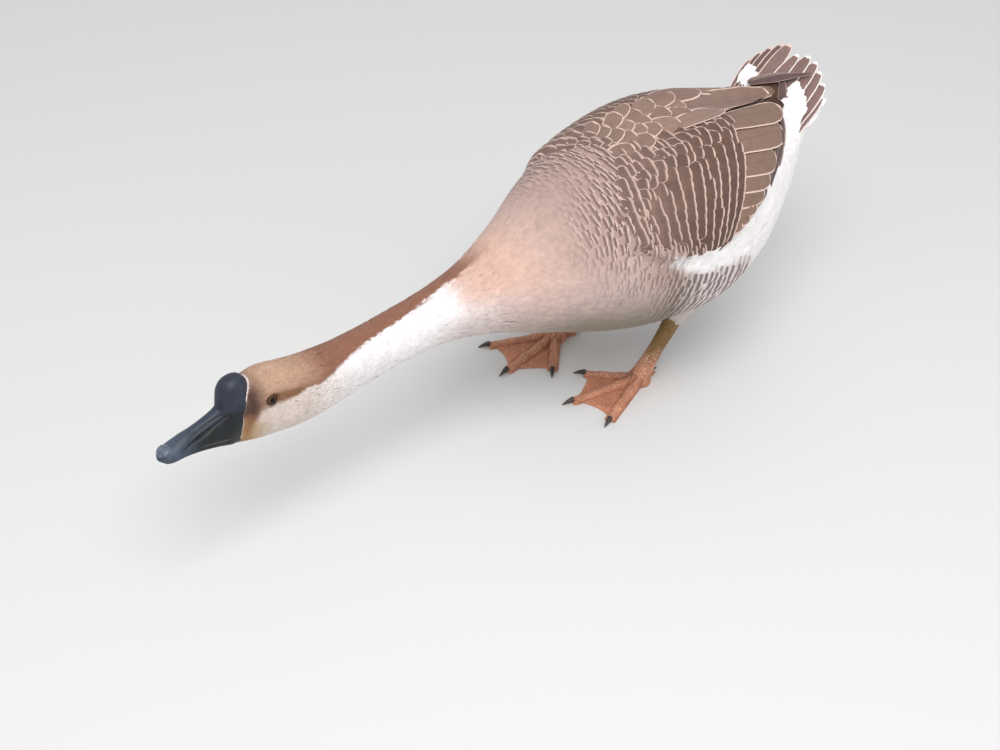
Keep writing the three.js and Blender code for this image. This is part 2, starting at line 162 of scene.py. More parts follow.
def addObject(name, data):
    thing = bpy.data.objects.new(name, data)
    bpy.context.scene.collection.objects.link(thing)
    return thing


def makeMesh(name, surface, materials, maps=None, rim=None, **attributes):
    # one object from points in mm and their faces. maps are UVs by face corner, attributes are by point: a
    # tint is a colour, other rows of three are vectors
    points, faceSets = surface
    mesh = bpy.data.meshes.new(name)
    corners = joined([faces.ravel() for faces in faceSets])
    sizes = joined([np.full(len(faces), faces.shape[1]) for faces in faceSets])
    mesh.vertices.add(len(points))
    mesh.loops.add(len(corners))
    mesh.polygons.add(len(sizes))
    store(mesh.vertices, "co", (points + bodyShift) / 1000)
    store(mesh.loops, "vertex_index", corners, np.int32)
    store(mesh.polygons, "loop_start", np.cumsum(sizes) - sizes, np.int32)
    store(mesh.polygons, "use_smooth", np.ones(len(sizes)), bool)
    mesh.update(calc_edges=True)
    for key, places in (maps or {}).items():
        store(mesh.uv_layers.new(name=key).data, "uv", places)
    for key, value in attributes.items():
        kind, field = ("FLOAT", "value") if value.ndim == 1 else ("FLOAT_VECTOR", "vector")
        if key == "tint":
            kind, field, value = "FLOAT_COLOR", "color", np.column_stack([value, np.ones(len(value))])
        store(mesh.attributes.new(key, kind, "POINT").data, field, value)
    if rim is not None:  # both ends of an edge on a vane's rim make it a sharp one
        ends = np.zeros(len(mesh.edges) * 2, np.int32)
        mesh.edges.foreach_get("vertices", ends)
        sharp = rim[ends].reshape(-1, 2).all(1)
        store(mesh.attributes.new("sharp_edge", "BOOLEAN", "EDGE").data, "value", sharp, bool)
    for material in materials:
        mesh.materials.append(material)
    return addObject(name, mesh)


def settle(piece, slot, *nodes):  # hides the parts of model.glb that a piece stands for and hangs it under the root; slot, what it is made of, is not used
    if nodes:
        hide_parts(*nodes)
    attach(piece, "root")


# camera, floor and light

view = {"azimuth": 52.5, "elevation": 38.4, "roll": 0.48, "distance": 1.7461, "lens": 64.83,
        "target": (0.0738, -0.0698, 0.130)}
# azimuth, elevation, distance, power and size of each lamp
lamps = {"key_lamp": (62, 62, 2.2, 31.0, 1.5), "fill_lamp": (10, 48, 2.6, 6.0, 2.0),
         "side_lamp": (115, 20, 2.4, 4.5, 1.6)}
studio = {"lampTarget": (0, -0.05, 0.15), "sky": 0.69, "floor": (0.70, 0.70, 0.70, 1)}


def lookFrom(azimuth, elevation, target, distance, roll=0.0):
    # a camera's or lamp's matrix: it stands in the direction given and looks back at the target
    a, e, turn = (math.radians(x) for x in (azimuth, elevation, roll))
    back = Vector((math.sin(a) * math.cos(e), -math.cos(a) * math.cos(e), math.sin(e))).normalized()
    right = Vector((0, 0, 1)).cross(back).normalized()
    up = back.cross(right)
    across = right * math.cos(turn) + up * math.sin(turn)
    above = up * math.cos(turn) - right * math.sin(turn)
    place = Vector(target) + back * distance
    rows = [[across[k], above[k], back[k], place[k]] for k in range(3)]
    return Matrix(rows + [[0, 0, 0, 1]])


cameraData = bpy.data.cameras.new("camera")
cameraData.lens = view["lens"]
cameraData.sensor_width = 36
cameraData.clip_start = 0.01
camera = addObject("camera", cameraData)
camera.matrix_world = lookFrom(*(view[k] for k in ("azimuth", "elevation", "target", "distance", "roll")))
bpy.context.scene.camera = camera
bpy.context.scene.view_settings.view_transform = "Standard"

for name, (azimuth, elevation, distance, power, size) in lamps.items():
    lamp = bpy.data.lights.new(name, "AREA")
    lamp.shape = "DISK"
    lamp.size = size
    lamp.energy = power
    addObject(name, lamp).matrix_world = lookFrom(azimuth, elevation, studio["lampTarget"], distance)
world = bpy.data.worlds.new("studio")
world.use_nodes = True
world.node_tree.nodes["Background"].inputs["Color"].default_value = (1, 1, 1, 1)
world.node_tree.nodes["Background"].inputs["Strength"].default_value = studio["sky"]
bpy.context.scene.world = world

# materials


def plugIn(socket, value):
    if isinstance(value, bpy.types.NodeSocket):
        socket.id_data.links.new(value, socket)
    else:
        socket.default_value = value


def addNode(tree, kind, inputs=None, **settings):
    node = tree.nodes.new("ShaderNode" + kind)
    for key, value in settings.items():
        setattr(node, key, value)
    for key, value in (inputs or {}).items():
        plugIn(node.inputs[key], value)
    return node


def calc(operation, *values, limit=False):  # a sum as a node, in the tree of the sockets it is given
    tree = next(value.id_data for value in values if isinstance(value, bpy.types.NodeSocket))
    node = addNode(tree, "Math", operation=operation, use_clamp=limit)
    for socket, value in zip(node.inputs, values):
        plugIn(socket, value)
    return node.outputs[0]


def times(a, b, limit=False):
    return calc("MULTIPLY", a, b, limit=limit)


def plus(a, b):
    return calc("ADD", a, b)


def minus(a, b):
    return calc("SUBTRACT", a, b)


def stepUp(value, low, high):  # smooth step
    return addNode(value.id_data, "MapRange", {"Value": value, "From Min": low, "From Max": high},
                   interpolation_type="SMOOTHSTEP").outputs["Result"]


def stepDown(value, low, high):
    return minus(1.0, stepUp(value, low, high))


def tinted(factor, first, second, blend="MIX"):
    tree = next(x.id_data for x in (factor, first, second) if isinstance(x, bpy.types.NodeSocket))
    node = addNode(tree, "Mix", {"Factor": factor, 6: first, 7: second}, data_type="RGBA", blend_type=blend)
    return node.outputs[2]


def shaded(colour, bright):  # a colour made darker or lighter
    grey = addNode(bright.id_data, "CombineColor", {"Red": bright, "Green": bright, "Blue": bright})
    return tinted(1.0, colour, grey.outputs[0], "MULTIPLY")


def attribute(tree, name, output="Fac"):
    return addNode(tree, "Attribute", attribute_name=name).outputs[output]


def split(vector):
    return addNode(vector.id_data, "SeparateXYZ", {"Vector": vector}).outputs


def solidPlace(tree):
    return addNode(tree, "TexCoord").outputs["Object"]


def noise(tree, place, scale, detail):
    return addNode(tree, "TexNoise", {"Vector": place, "Scale": scale, "Detail": detail}).outputs["Fac"]


def newMaterial(name, sockets):
    material = bpy.data.materials.new(name)
    material.use_nodes = True
    for socket, value in sockets.items():
        material.node_tree.nodes["Principled BSDF"].inputs[socket].default_value = value
    return material, material.node_tree


def dressed(material, colour, height, distance, strength, rough=None):  # plugs a look into the shader
    bump = addNode(height.id_data, "Bump", {"Height": height, "Distance": distance, "Strength": strength})
    shader = material.node_tree.nodes["Principled BSDF"]
    plugIn(shader.inputs["Base Color"], colour)
    plugIn(shader.inputs["Normal"], bump.outputs["Normal"])
    if rough:
        plugIn(shader.inputs["Roughness"], rough)
    return material


def buildMottle():
    # shared effect: two scales of noise darken or lighten a colour, and come out as a height as well
    group = bpy.data.node_groups.new("mottle", "ShaderNodeTree")
    for way, names in (("INPUT", ("Color", "Scale", "Amount")), ("OUTPUT", ("Color", "Height"))):
        for name in names:
            kind = "NodeSocketColor" if name == "Color" else "NodeSocketFloat"
            group.interface.new_socket(name, in_out=way, socket_type=kind)
    entry, leave = group.nodes.new("NodeGroupInput"), group.nodes.new("NodeGroupOutput")
    place = solidPlace(group)
    coarse = noise(group, place, entry.outputs["Scale"], 3.0)
    fine = noise(group, place, times(entry.outputs["Scale"], 6.3), 2.0)
    height = plus(times(coarse, 0.6), times(fine, 0.4))
    centred = times(minus(height, 0.5), entry.outputs["Amount"])
    plugIn(leave.inputs["Color"], shaded(entry.outputs["Color"], plus(1.0, times(centred, 2.0))))
    plugIn(leave.inputs["Height"], height)
    return group


mottle = buildMottle()


def mottled(tree, colour, scale, amount):
    node = addNode(tree, "Group", node_tree=mottle)
    for key, value in (("Color", colour), ("Scale", scale), ("Amount", amount)):
        plugIn(node.inputs[key], value)
    return node.outputs["Color"], node.outputs["Height"]


def buildPlumage():
    # vanes: a pale rim, a dark bar before the tip, a shaft and slanting barbs, all read from the vane's own
    # map. "pattern" holds the strength of rim and bar and the share of the vane that shows, "rims" the rim's
    # width at the tip and at the sides and the number of barbs
    material, tree = newMaterial("plumage", {"Roughness": 0.75, "Sheen Weight": 0.10,
                                             "Sheen Roughness": 0.5, "Specular IOR Level": 0.2})
    place = split(addNode(tree, "UVMap", uv_map="Vane").outputs["UV"])
    edge, bar, show = split(attribute(tree, "pattern", "Vector"))
    rimTip, rimSide, barbCount = split(attribute(tree, "rims", "Vector"))
    across = calc("ABSOLUTE", minus(times(place["X"], 2.0), 1.0))
    along = place["Y"]
    wobble = times(minus(noise(tree, solidPlace(tree), 700.0, 2.0), 0.5), 0.9)
    toTip = calc("DIVIDE", minus(1.0, along), rimTip)
    toSide = calc("DIVIDE", minus(1.0, across), rimSide)
    tipRim, sideRim = (stepDown(plus(to, wobble), 0.75, 1.35) for to in (toTip, toSide))
    pale = times(calc("MAXIMUM", tipRim, sideRim), edge, limit=True)
    shown = plus(calc("DIVIDE", minus(1.0, along), show), times(wobble, 0.35))
    band = times(times(stepUp(shown, 0.22, 0.40), stepDown(shown, 0.60, 1.05)), stepDown(across, 0.82, 1.0))
    body = tinted(times(band, bar, limit=True), attribute(tree, "tint", "Color"), (0.105, 0.072, 0.066, 1))
    shaft = times(stepDown(across, 0.0, 0.07), times(edge, 0.28))
    body = tinted(shaft, body, (0.08, 0.05, 0.04, 1))
    rimTint = tinted(stepUp(edge, 1.05, 1.3), (0.78, 0.58, 0.50, 1), (0.90, 0.83, 0.80, 1))
    body = tinted(pale, body, rimTint)
    barbs = calc("SINE", times(minus(times(along, barbCount), times(across, 9.0)), 2.6))
    body, grain = mottled(tree, body, 130.0, 0.30)
    colour = shaded(body, plus(0.98, times(barbs, 0.03)))
    return dressed(material, colour, plus(times(barbs, 0.35), grain), 0.0003, 0.5)


def buildDown():
    # the skin under the coat: the same tints as the coat, matt, with a fine grain
    material, tree = newMaterial("down", {"Roughness": 0.9, "Specular IOR Level": 0.2})
    return dressed(material, *mottled(tree, attribute(tree, "tint", "Color"), 200.0, 0.3), 0.0006, 0.7)


def buildBill():
    # slate horn, its tints painted on the points, among them a painted highlight along the ridges and
    # painted shade in the nostril and grooves, a little duller where the grain is high
    material, tree = newMaterial("slate_horn", {"Specular IOR Level": 0.36})
    colour, grain = mottled(tree, attribute(tree, "tint", "Color"), 110.0, 0.9)
    return dressed(material, colour, grain, 0.0005, 0.5, plus(0.34, times(grain, 0.24)))


def buildLegSkin():
    # scaly skin: brown webs, olive shanks, pale painted highlights on the scales over the ankle and toes,
    # dark painted shade in the creases beside the toes
    material, tree = newMaterial("leg_skin", {"Specular IOR Level": 0.35})
    place = solidPlace(tree)
    height = split(place)["Z"]
    plates = addNode(tree, "TexVoronoi", {"Vector": place, "Scale": 340.0},
                     feature="DISTANCE_TO_EDGE").outputs["Distance"]
    # painted highlights: the middles of the scales made paler
    scaleHighlights = stepUp(plates, 0.10, 0.30)
    colour = tinted(stepUp(height, 0.020, 0.045), (0.60, 0.255, 0.150, 1), (0.225, 0.130, 0.046, 1))
    low = times(stepDown(height, 0.030, 0.052), stepUp(height, 0.008, 0.014))
    scaly = calc("MAXIMUM", attribute(tree, "scute"), low)
    colour = tinted(times(times(scaleHighlights, scaly), 0.8), colour, (0.62, 0.42, 0.31, 1))
    colour = tinted(times(stepDown(plates, 0.0, 0.10), 0.35), colour, (0.13, 0.06, 0.035, 1))
    # painted shade in the creases where the toes meet the webs
    colour = tinted(times(attribute(tree, "crease"), 0.6), colour, (0.13, 0.05, 0.03, 1))
    colour, grain = mottled(tree, colour, 60.0, 0.8)
    height = plus(times(stepUp(plates, 0.0, 0.25), 0.7), times(grain, 0.5))
    return dressed(material, colour, height, 0.0008, 0.9, plus(0.46, times(grain, 0.2)))


def buildEye():
    # glassy eye: black pupil, dark brown iris with spokes, darker edge
    material, tree = newMaterial("eye_glass", {"Roughness": 0.12, "Coat Weight": 0.10,
                                               "Coat Roughness": 0.03, "Specular IOR Level": 0.16})
    out = attribute(tree, "out")
    spokes = noise(tree, solidPlace(tree), 1500.0, 2.0)
    iris = tinted(stepUp(spokes, 0.35, 0.65), (0.045, 0.020, 0.009, 1), (0.12, 0.056, 0.024, 1))
    colour = tinted(stepUp(out, 0.42, 0.50), (0.002, 0.002, 0.002, 1), iris)
    colour = tinted(stepUp(out, 0.76, 0.92), colour, (0.012, 0.008, 0.006, 1))
    plugIn(tree.nodes["Principled BSDF"].inputs["Base Color"], colour)
    return material


def buildHorn(name, colour, rough, scale, amount, relief):
    # one colour broken up by noise, with a fine relief
    material, tree = newMaterial(name, {"Roughness": rough})
    return dressed(material, *mottled(tree, colour, scale, amount), relief, 0.5)


plumage, down, slateHorn = buildPlumage(), buildDown(), buildBill()
legSkin, eyeGlass = buildLegSkin(), buildEye()
clawHorn = buildHorn("claw_horn", (0.045, 0.034, 0.028, 1), 0.42, 300.0, 0.6, 0.0004)
nailHorn = buildHorn("nail_horn", (0.092, 0.120, 0.157, 1), 0.38, 260.0, 1.6, 0.0003)
floorPaint = newMaterial("floor_paint", {"Base Color": studio["floor"], "Roughness": 0.9})[0]

bpy.ops.mesh.primitive_plane_add(size=12, location=(0, 0, 0))
floor = bpy.context.active_object
floor.name = "studio_floor"
floor.data.materials.append(floorPaint)
print("stage ready")

# head, neck and trunk as one surface

# s back from the bill's base, the section's centre x y z, half width, half height up and down, squareness
sections = np.array([
    (-15, 14, -465, 173, 14, 30, 33, 2.2), (0, 13, -450, 172, 18, 33, 35, 2.2),
    (15, 12, -435, 171, 22, 35, 38, 2.1), (32, 10, -418, 170, 25, 34, 40, 2.1),
    (52, 9, -398, 169, 26, 30, 43, 2), (80, 7, -370, 168, 25, 25, 44, 2),
    (120, 5, -330, 168, 24, 22, 39, 2), (180, 3, -270, 169, 25, 26, 30, 2),
    (235, 1, -215, 170, 30, 31, 31, 2), (285, 0, -166, 170, 43, 41, 42, 2),
    (335, 0, -117, 173, 63, 58, 65, 2), (400, 0, -52, 178, 92, 87, 91, 2.1),
    (465, 0, 13, 182, 106, 99, 108, 2.15), (530, 0, 78, 188, 108, 100, 118, 2.15),
    (590, 0, 137, 197, 92, 88, 104, 2.1), (640, -1, 184, 211, 66, 63, 73, 2.1),
    (682, -4, 222, 229, 46, 34, 42, 2.1), (712, -7, 249, 245, 36, 15, 18, 2.1),
    (733, -8, 268, 256, 20, 5, 7, 2.1)])
# where the face's feathers stop against the bill: degrees from the top, s
faceLine = [(0, 8), (15, 7.5), (30, 5), (40, 2.8), (47, 1), (63, -1.7), (73, -3.1), (81, -4.9), (98, -5.6),
            (110, -6.8), (133, -6.5), (160, -8), (180, -9)]
# upper and lower edge of the folded wing in degrees from the back, and its height over its rim
wingRows = [(408, 48, 60, 2.5), (425, 36, 72, 4), (450, 28, 80, 5), (494, 20, 84, 6), (530, 16, 83, 6.6),
            (566, 13, 76, 7), (609, 10, 67, 8.5), (644, 8, 60, 10.5), (662, 6, 48, 11.5), (700, 5, 22, 11.5)]
wingPlate = {"under": 3.2, "rim": 0.9}


def bodyFrame(s):  # a section's centre, and its directions back, left and up
    def at(where):
        return np.stack([curve(sections, where, k) for k in (1, 2, 3)], -1)
    back = unit(at(s + 1) - at(s - 1))
    left = unit(np.stack([back[..., 1], -back[..., 0], 0 * back[..., 0]], -1))
    return at(s), back, left, np.cross(left, back)


def bodySurface(s, v, lift=0.0):
    # superellipse sections along the bird: v turns in degrees from the back over the left side to the belly
    s, v, lift = matched(s, v, lift)
    centre, _, left, up = bodyFrame(s)
    c, d = waysOf(v)
    power = 2 / curve(sections, s, 7)
    tall = np.where(c > 0, curve(sections, s, 5), curve(sections, s, 6)) + lift
    across = (curve(sections, s, 4) + lift) * np.sign(d) * np.abs(d) ** power
    return moved(centre, across, left, tall * np.sign(c) * np.abs(c) ** power, up)


def wingHeight(s, v):
    # how far the folded wing stands over the body: a rim at its edges, domed between them
    upper, lower, lift = (line(wingRows, s, k) for k in (1, 2, 3))
    g = (np.abs(v) - upper) / (lower - upper)
    dome = np.sqrt(clamp(1 - np.abs(2 * clamp(g) - 1) ** 3))
    height = wingPlate["under"] + mix(wingPlate["rim"], lift, dome)
    within = ramp(g, -0.16, 0.04) * fall(g, 0.97, 1.05) * ramp(s, 398, 420) * fall(s, 692, 716)
    return height * within


def wingSurface(s, v, lift=0.0):
    return bodySurface(s, v, lift + wingHeight(s, v))


def faceEdge(v):
    return curve(faceLine, np.abs(v))


# markings, with painted shade under the neck's base and on the belly, the same for skin and coat

tints = {
    "foreneck": (0.90, 0.86, 0.87), "cheek": (0.78, 0.665, 0.60), "throat": (0.60, 0.41, 0.24),
    "nape": (0.275, 0.125, 0.080), "crown": (0.53, 0.335, 0.235), "lores": (0.100, 0.052, 0.037),
    "behindEye": (0.25, 0.122, 0.062), "gape": (0.36, 0.19, 0.085), "billLine": (0.85, 0.74, 0.72),
    "ochre": (0.66, 0.41, 0.32), "buff": (0.62, 0.44, 0.385), "breast": (0.52, 0.40, 0.37),
    # belly: the belly's greyish buff darkened into painted shade, with a greenish painted reflection
    "belly": (0.23, 0.19, 0.14), "mantle": (0.41, 0.278, 0.246), "scapular": (0.270, 0.172, 0.138),
    "covert": (0.148, 0.081, 0.059), "covertLow": (0.102, 0.053, 0.038), "secondary": (0.24, 0.15, 0.112),
    "flank": (0.82, 0.72, 0.71), "white": (0.94, 0.91, 0.915), "tail": (0.245, 0.155, 0.140),
    "primary": (0.125, 0.080, 0.078), "lidRim": (0.035, 0.022, 0.018)}
tints = {key: np.array(value) for key, value in tints.items()}
# left and right edge of the brown stripe over crown and hind neck: s, degrees
stripeLeft = [(-15, 122), (0, 112), (6, 98), (12, 84), (17, 79), (26, 77), (40, 76), (51, 74), (60, 68),
              (72, 71), (80, 72), (92, 65), (102, 54), (118, 42), (135, 34), (152, 28), (193, 20), (234, 3),
              (270, -6), (320, -8)]
stripeRight = [(s, -v) for s, v in stripeLeft[:12]] + [
    (102, -56), (118, -48), (135, -44), (152, -42), (193, -43), (234, -50), (270, -56), (320, -60)]
# where the white band under the wing ends and the barred flank starts: s, degrees
whiteBand = [(436, 79), (450, 85), (468, 90.5), (485, 94.5), (500, 96), (520, 98), (545, 101), (556, 105),
             (566, 116), (576, 140), (584, 180), (600, 200)]


def layered(colour, palette, layers):  # lays tints over one another, each through a mask
    for key, mask in layers:
        colour = mix(colour, palette[key], np.asarray(mask)[..., None])
    return colour


def barring(s, v):  # how strongly the flank is barred
    a = np.abs(v)
    below = ramp(a - line(whiteBand, s), -1, 5)
    return below * ramp(s, 408, 470) * ramp(a, 84, 92) * fall(a, 142, 166) * fall(s, 566, 584)


def markingsAndShade(s, v, jitter=0.0):
    # colour at a place on the bird. jitter moves the edges of the markings a little, in mm
    s, v, jitter = matched(s, v, jitter)
    a, s2 = np.abs(v), s + jitter
    lower, band, edge = line(wingRows, s, 2), line(whiteBand, s2), s - faceEdge(v)
    under = ramp(s2, 438, 454) * ramp(a, lower - 5, lower - 1) * fall(a, band - 3, band + 4)
    soft = mix(10.0, 2.5, ramp(s, 14, 60))
    left = line(stripeLeft, s) + jitter * 1.2 - v
    right = v - line(stripeRight, s) + jitter * 1.2
    brown = ramp(left, -soft, soft) * ramp(right, -soft, soft) * fall(s2, 258, 318)
    face = brown * fall(s, 62, 96)
    return layered(np.zeros(s.shape + (3,)) + tints["foreneck"], tints, [
        ("buff", ramp(s2, 225, 330) * mix(1, 0.6, ramp(a, 80, 150))),
        ("breast", ramp(s2, 320, 410) * mix(0.5, 1, ramp(a, 60, 120))),
        ("ochre", ramp(s2, 226, 262) * fall(s2, 290, 350) * fall(a, 35, 95) * 0.85),
        # painted shade: the underside of the neck's base darkened with the breast's tint
        ("breast", ramp(s2, 180, 255) * ramp(a, 58, 92) * 0.55),
        # painted shade on the belly, with a greenish painted reflection from below
        ("belly", ramp(s2, 250, 380) * ramp(a, 84, 130) * fall(s2, 600, 660)),
        ("flank", ramp(s2, 450, 495) * ramp(a, 80, 95) * fall(a, 125, 155)),
        ("mantle", ramp(s2, 300, 410) * fall(a, 45, 88) * 0.9),
        ("scapular", ramp(s2, 440, 490) * fall(a, 40, 70) * 0.8),
        ("mantle", ramp(s2, 405, 440) * fall(s2, 474, 496) * ramp(a, 52, 62) * fall(a, 88, 100) * 0.9),
        ("white", under),
        ("white", ramp(s2, 560, 600) * ramp(a, lower - 8, lower - 1) * ramp(band - a, -4, 4)),
        ("white", ramp(s2, 672, 690)),
        ("cheek", fall(s2, 50, 125)),
        ("throat", fall(s2, 2, 26) * ramp(a, 88, 108)),
        ("nape", brown),
        ("crown", face * ramp(s2, -6, 12) * fall(a, 48, 78) * (1 - 0.3 * ramp(s, 40, 70))),
        ("crown", face * ramp(s2, 2, 14) * fall(s2, 18, 24) * 0.45),
        ("lores", face * fall(s2, 4, 23) * mix(0.55, 1.0, ramp(a, 20, 50)) * fall(a, 78, 104)),
        ("gape", fall(s2, -2, 10) * ramp(a, 80, 98) * fall(a, 150, 175) * 0.8),
        ("behindEye", face * ramp(a, 56, 66) * ramp(s, 24, 30) * fall(s, 46, 78)),
        ("billLine", fall(edge, 0.5, 1.3) * (1 - 0.7 * ramp(a, 62, 72) * fall(a, 84, 94)))])


# skin

eyeShape = {"s": 21.5, "v": 70.0, "proud": 1.0, "across": 7.4, "deep": 5.2, "long": 5.5, "tall": 4.5}
# how deep the skin lies under the coat: s, mm
skinDepth = [(-15, 0.8), (10, 1.2), (60, 1.6), (120, 2.4), (200, 3.0), (290, 4.2), (400, 5.5), (600, 5.5),
             (690, 4.0), (733, 2.0)]
legs = {"left": {"side": 1, "heading": -11, "joints": ((43, 17, 0), (52, 54, 79), (62, 58, 131))},
        "right": {"side": -1, "heading": 11, "joints": ((-72, -7, 0), (-64, 42, 79), (-64, 40, 131))}}
for leg in legs.values():
    leg["ankle"], leg["hock"], leg["knee"] = np.array(leg["joints"], float)
# angle from the heading, length, half width and ridge height of each toe
toes = {"inner": (-37, 61, 6, 11), "middle": (0, 83, 6.4, 12), "outer": (36, 77, 6.2, 11),
        "hind": (-156, 24, 4.6, 8)}
foot = {"web": 2.2, "hub": 12.0, "hubHeight": 15.0, "scallop": 0.17}


def eyeAxes(side):  # the eye's centre, and its directions back along the head, up and out
    out = bodySurface(eyeShape["s"], side * eyeShape["v"])
    inward = unit(bodySurface(eyeShape["s"], side * eyeShape["v"], -10.0) - out)
    centre = out + inward * (eyeShape["deep"] - eyeShape["proud"])
    back = bodyFrame(np.array(eyeShape["s"]))[1]
    back = unit(back + inward * -(back @ inward))
    return centre, back, unit(np.cross(back, -inward)) * side, -inward


def eyeRadius(points, side):
    # distance from the eye's middle as a share of its opening, which is lower at the top than at the bottom
    centre, back, up, out = eyeAxes(side)
    x, y, z = ((points - centre) @ way for way in (back, up, out))
    tall = eyeShape["tall"] * np.where(y > 0, 0.94, 1.0)
    return np.where(z > -6, np.hypot(x / eyeShape["long"], y / tall), 9.0), x, y


def nearEye(points):
    return np.minimum(eyeRadius(points, 1)[0], eyeRadius(points, -1)[0])


def shapeLids(points):
    # near each eye the skin leaves the head's shape: it dips under the eye and stands round it as lids
    for side in (1, -1):
        centre, back, up, out = eyeAxes(side)
        share, x, y = eyeRadius(points, side)
        ball = eyeShape["deep"] * np.sqrt(clamp(1 - (x**2 + y**2) / eyeShape["across"] ** 2, 0.01))
        lid = mix(-1.4, 0.75, ramp(share, 0.90, 1.0)) - 0.35 * ramp(share, 1.12, 1.3)
        fold = moved(centre, x, back, y, up, ball + lid, out)
        points = mix(points, fold, fall(share, 1.25, 1.85)[..., None])
    return points


def headRelief(s, v):  # low forms of the head in mm: a brow over the eye, a hollow before it, a full cheek
    a = np.abs(v)
    return (0.9 * bell((s - 20) / 12, (a - 46) / 10) - 1.5 * bell((s - 7) / 6, (a - 72) / 14)
            + 0.8 * bell((s - 42) / 16, (a - 108) / 22))


def spread(*stretches):  # places from (start, end, count) stretches, each without its end
    return joined([np.linspace(a, b, n, endpoint=False) for a, b, n in stretches])


def bodySkin():
    s = np.append(spread((-15, 13, 18), (13, 30, 34), (30, 90, 34), (90, 290, 44), (290, 733, 64)), 733)
    half = spread((0, 46, 15), (46, 94, 44), (94, 180, 22))
    v = np.sort(joined([half, -half[:0:-1], [-179.9]]))
    s, v = np.meshgrid(s, v, indexing="ij")
    s = np.maximum(s, faceEdge(v) + (s - sections[0, 0]) * 0.02)
    points = shapeLids(bodySurface(s, v, headRelief(s, v) - line(skinDepth, s)))
    tint = layered(markingsAndShade(s, v), tints, [("lidRim", fall(nearEye(points), 1.06, 1.26))])
    return closedTube(points), withEnds(tint)


def limbTube(centres, widths, rows, columns=40):
    # a round limb through centres, whose half width runs smoothly through the widths
    centres = np.array(centres)
    places = walked(centres)
    t = np.linspace(0, places[-1], rows)
    table = np.column_stack([places, centres, widths])
    middle = np.stack([curve(table, t, k) for k in (1, 2, 3)], -1)
    ahead = unit(np.gradient(middle, axis=0))
    across = unit(np.stack([0 * t, ahead[:, 2], -ahead[:, 1]], -1))
    beside = np.cross(ahead, across)
    a = fullTurn(columns)[..., None]
    around = across[:, None] * np.cos(a) + beside[:, None] * np.sin(a)
    return middle[:, None] + curve(table, t, 4)[:, None, None] * around


def footReach(angle):
    # how far the foot reaches in a direction: toes with round ends, and webs whose edges curve in
    reach = np.full(angle.shape, foot["hub"])
    for toeAngle, length, width, _ in toes.values():
        off = np.radians(np.abs(angle - toeAngle))
        toe = np.minimum(length, width / np.maximum(np.sin(off), 1e-3))
        reach = np.maximum(reach, np.where(off < 1.2, toe, 0))
    for first, second in (("inner", "middle"), ("middle", "outer")):
        (a, lengthA), (b, lengthB) = toes[first][:2], toes[second][:2]
        t = (angle - a) / (b - a)
        web = mix(lengthA, lengthB, t) * (1 - foot["scallop"] * np.sqrt(clamp(np.sin(np.pi * clamp(t)))))
        reach = np.where((t >= 0) & (t <= 1), np.maximum(reach, web), reach)
    return reach


def footHeight(r, angle, reach):
    # the foot's top: webs that sag from the ankle's mound to the floor, a soft ridge with knuckles and
    # cross scutes on each toe. The parts run into each other by their powers' sum
    sharp = 3.2
    hub = ramp(r / foot["hub"], 0.62, 1.5)
    parts = [foot["web"] + 3.6 * (1 - clamp(r / reach)) ** 1.5, foot["hubHeight"] * (1 - hub)]
    crease, scutes = np.zeros(r.shape), np.zeros(r.shape)
    for toeAngle, length, width, height in toes.values():
        off = np.radians(angle - toeAngle)
        ahead, beside = r * np.cos(off), np.abs(r * np.sin(off))
        share = clamp(ahead / length)
        swell = mix(1, 0.8, share) * (1 + 0.07 * np.cos(share * 6 * np.pi))
        t = beside / (width * swell)
        on = (ahead > 0) & (t < 1)
        dome = np.sqrt(clamp(1 - t**2))
        scute = np.abs(np.sin(ahead * np.pi / 2.6)) ** 0.6
        ridge = (mix(height * 0.9, 5.0, share) * swell + 0.5 * scute * ramp(dome, 0.5, 0.9)) * dome**0.8
        parts.append(np.where(on, ridge, 0))
        # painted shade: a band just outside each toe's edge, where it meets the web
        crease = np.maximum(crease, bell((t - 1.1) / 0.2) * (ahead > 4) * (1 - 0.6 * share))
        scutes = np.maximum(scutes, np.where(on, ramp(dome, 0.6, 0.95) * scute * ramp(ahead, 4, 14), 0))
    folds = 0.3 * np.sin(angle * 1.9 + 2 * np.sin(r * 0.11)) + 0.25 * np.sin(r * 0.55 + angle * 0.25)
    top = sum(part**sharp for part in parts) ** (1 / sharp)
    return top + folds * ramp(r, 14, 30) * fall(top, 4.5, 7), crease, scutes


def footSkin(leg):
    # polar grid round the ankle: the top from middle to rim, a rounded rim, and the flat sole
    fine = [np.linspace(toe[0] - 12, toe[0] + 12, 33) for toe in list(toes.values())[:3]]
    rest = [np.linspace(-37, 36, 60), np.linspace(-166, -146, 18), np.linspace(-324, -37, 60)]
    angle = np.unique(np.round(np.mod(joined(fine + rest), 360), 2))
    angle = np.where(angle > 180, angle - 360, angle)
    reach = footReach(angle)
    t = joined([np.linspace(0.02, 0.96, 46), [0.985, 1.0]])[:, None]
    r = t * reach
    z, crease, scutes = footHeight(r, np.broadcast_to(angle, r.shape), reach)
    z = mix(z, np.minimum(z, 3.2) * 0.55, ramp(t, 0.94, 1.0))
    r = joined([r, [reach - 0.15, reach - 0.6, reach * 0.5, reach * 0.02]])
    z = joined([z, [z[-1] * 0.35], np.zeros((3, len(angle)))])
    flat = np.zeros(4 * len(angle) + 2)
    c, d = waysOf(leg["heading"] + leg["side"] * angle)
    points = leg["ankle"] + np.stack([r * d, -r * c, z], -1)
    return closedTube(points), np.append(crease, flat), np.append(scutes, flat)


def shell(name, surface, tint, crease=None, scute=None):
    nothing = np.zeros(len(surface[0]))
    return makeMesh(name, surface, [down, legSkin], tint=tint, crease=nothing if crease is None else crease,
                    scute=nothing if scute is None else scute)


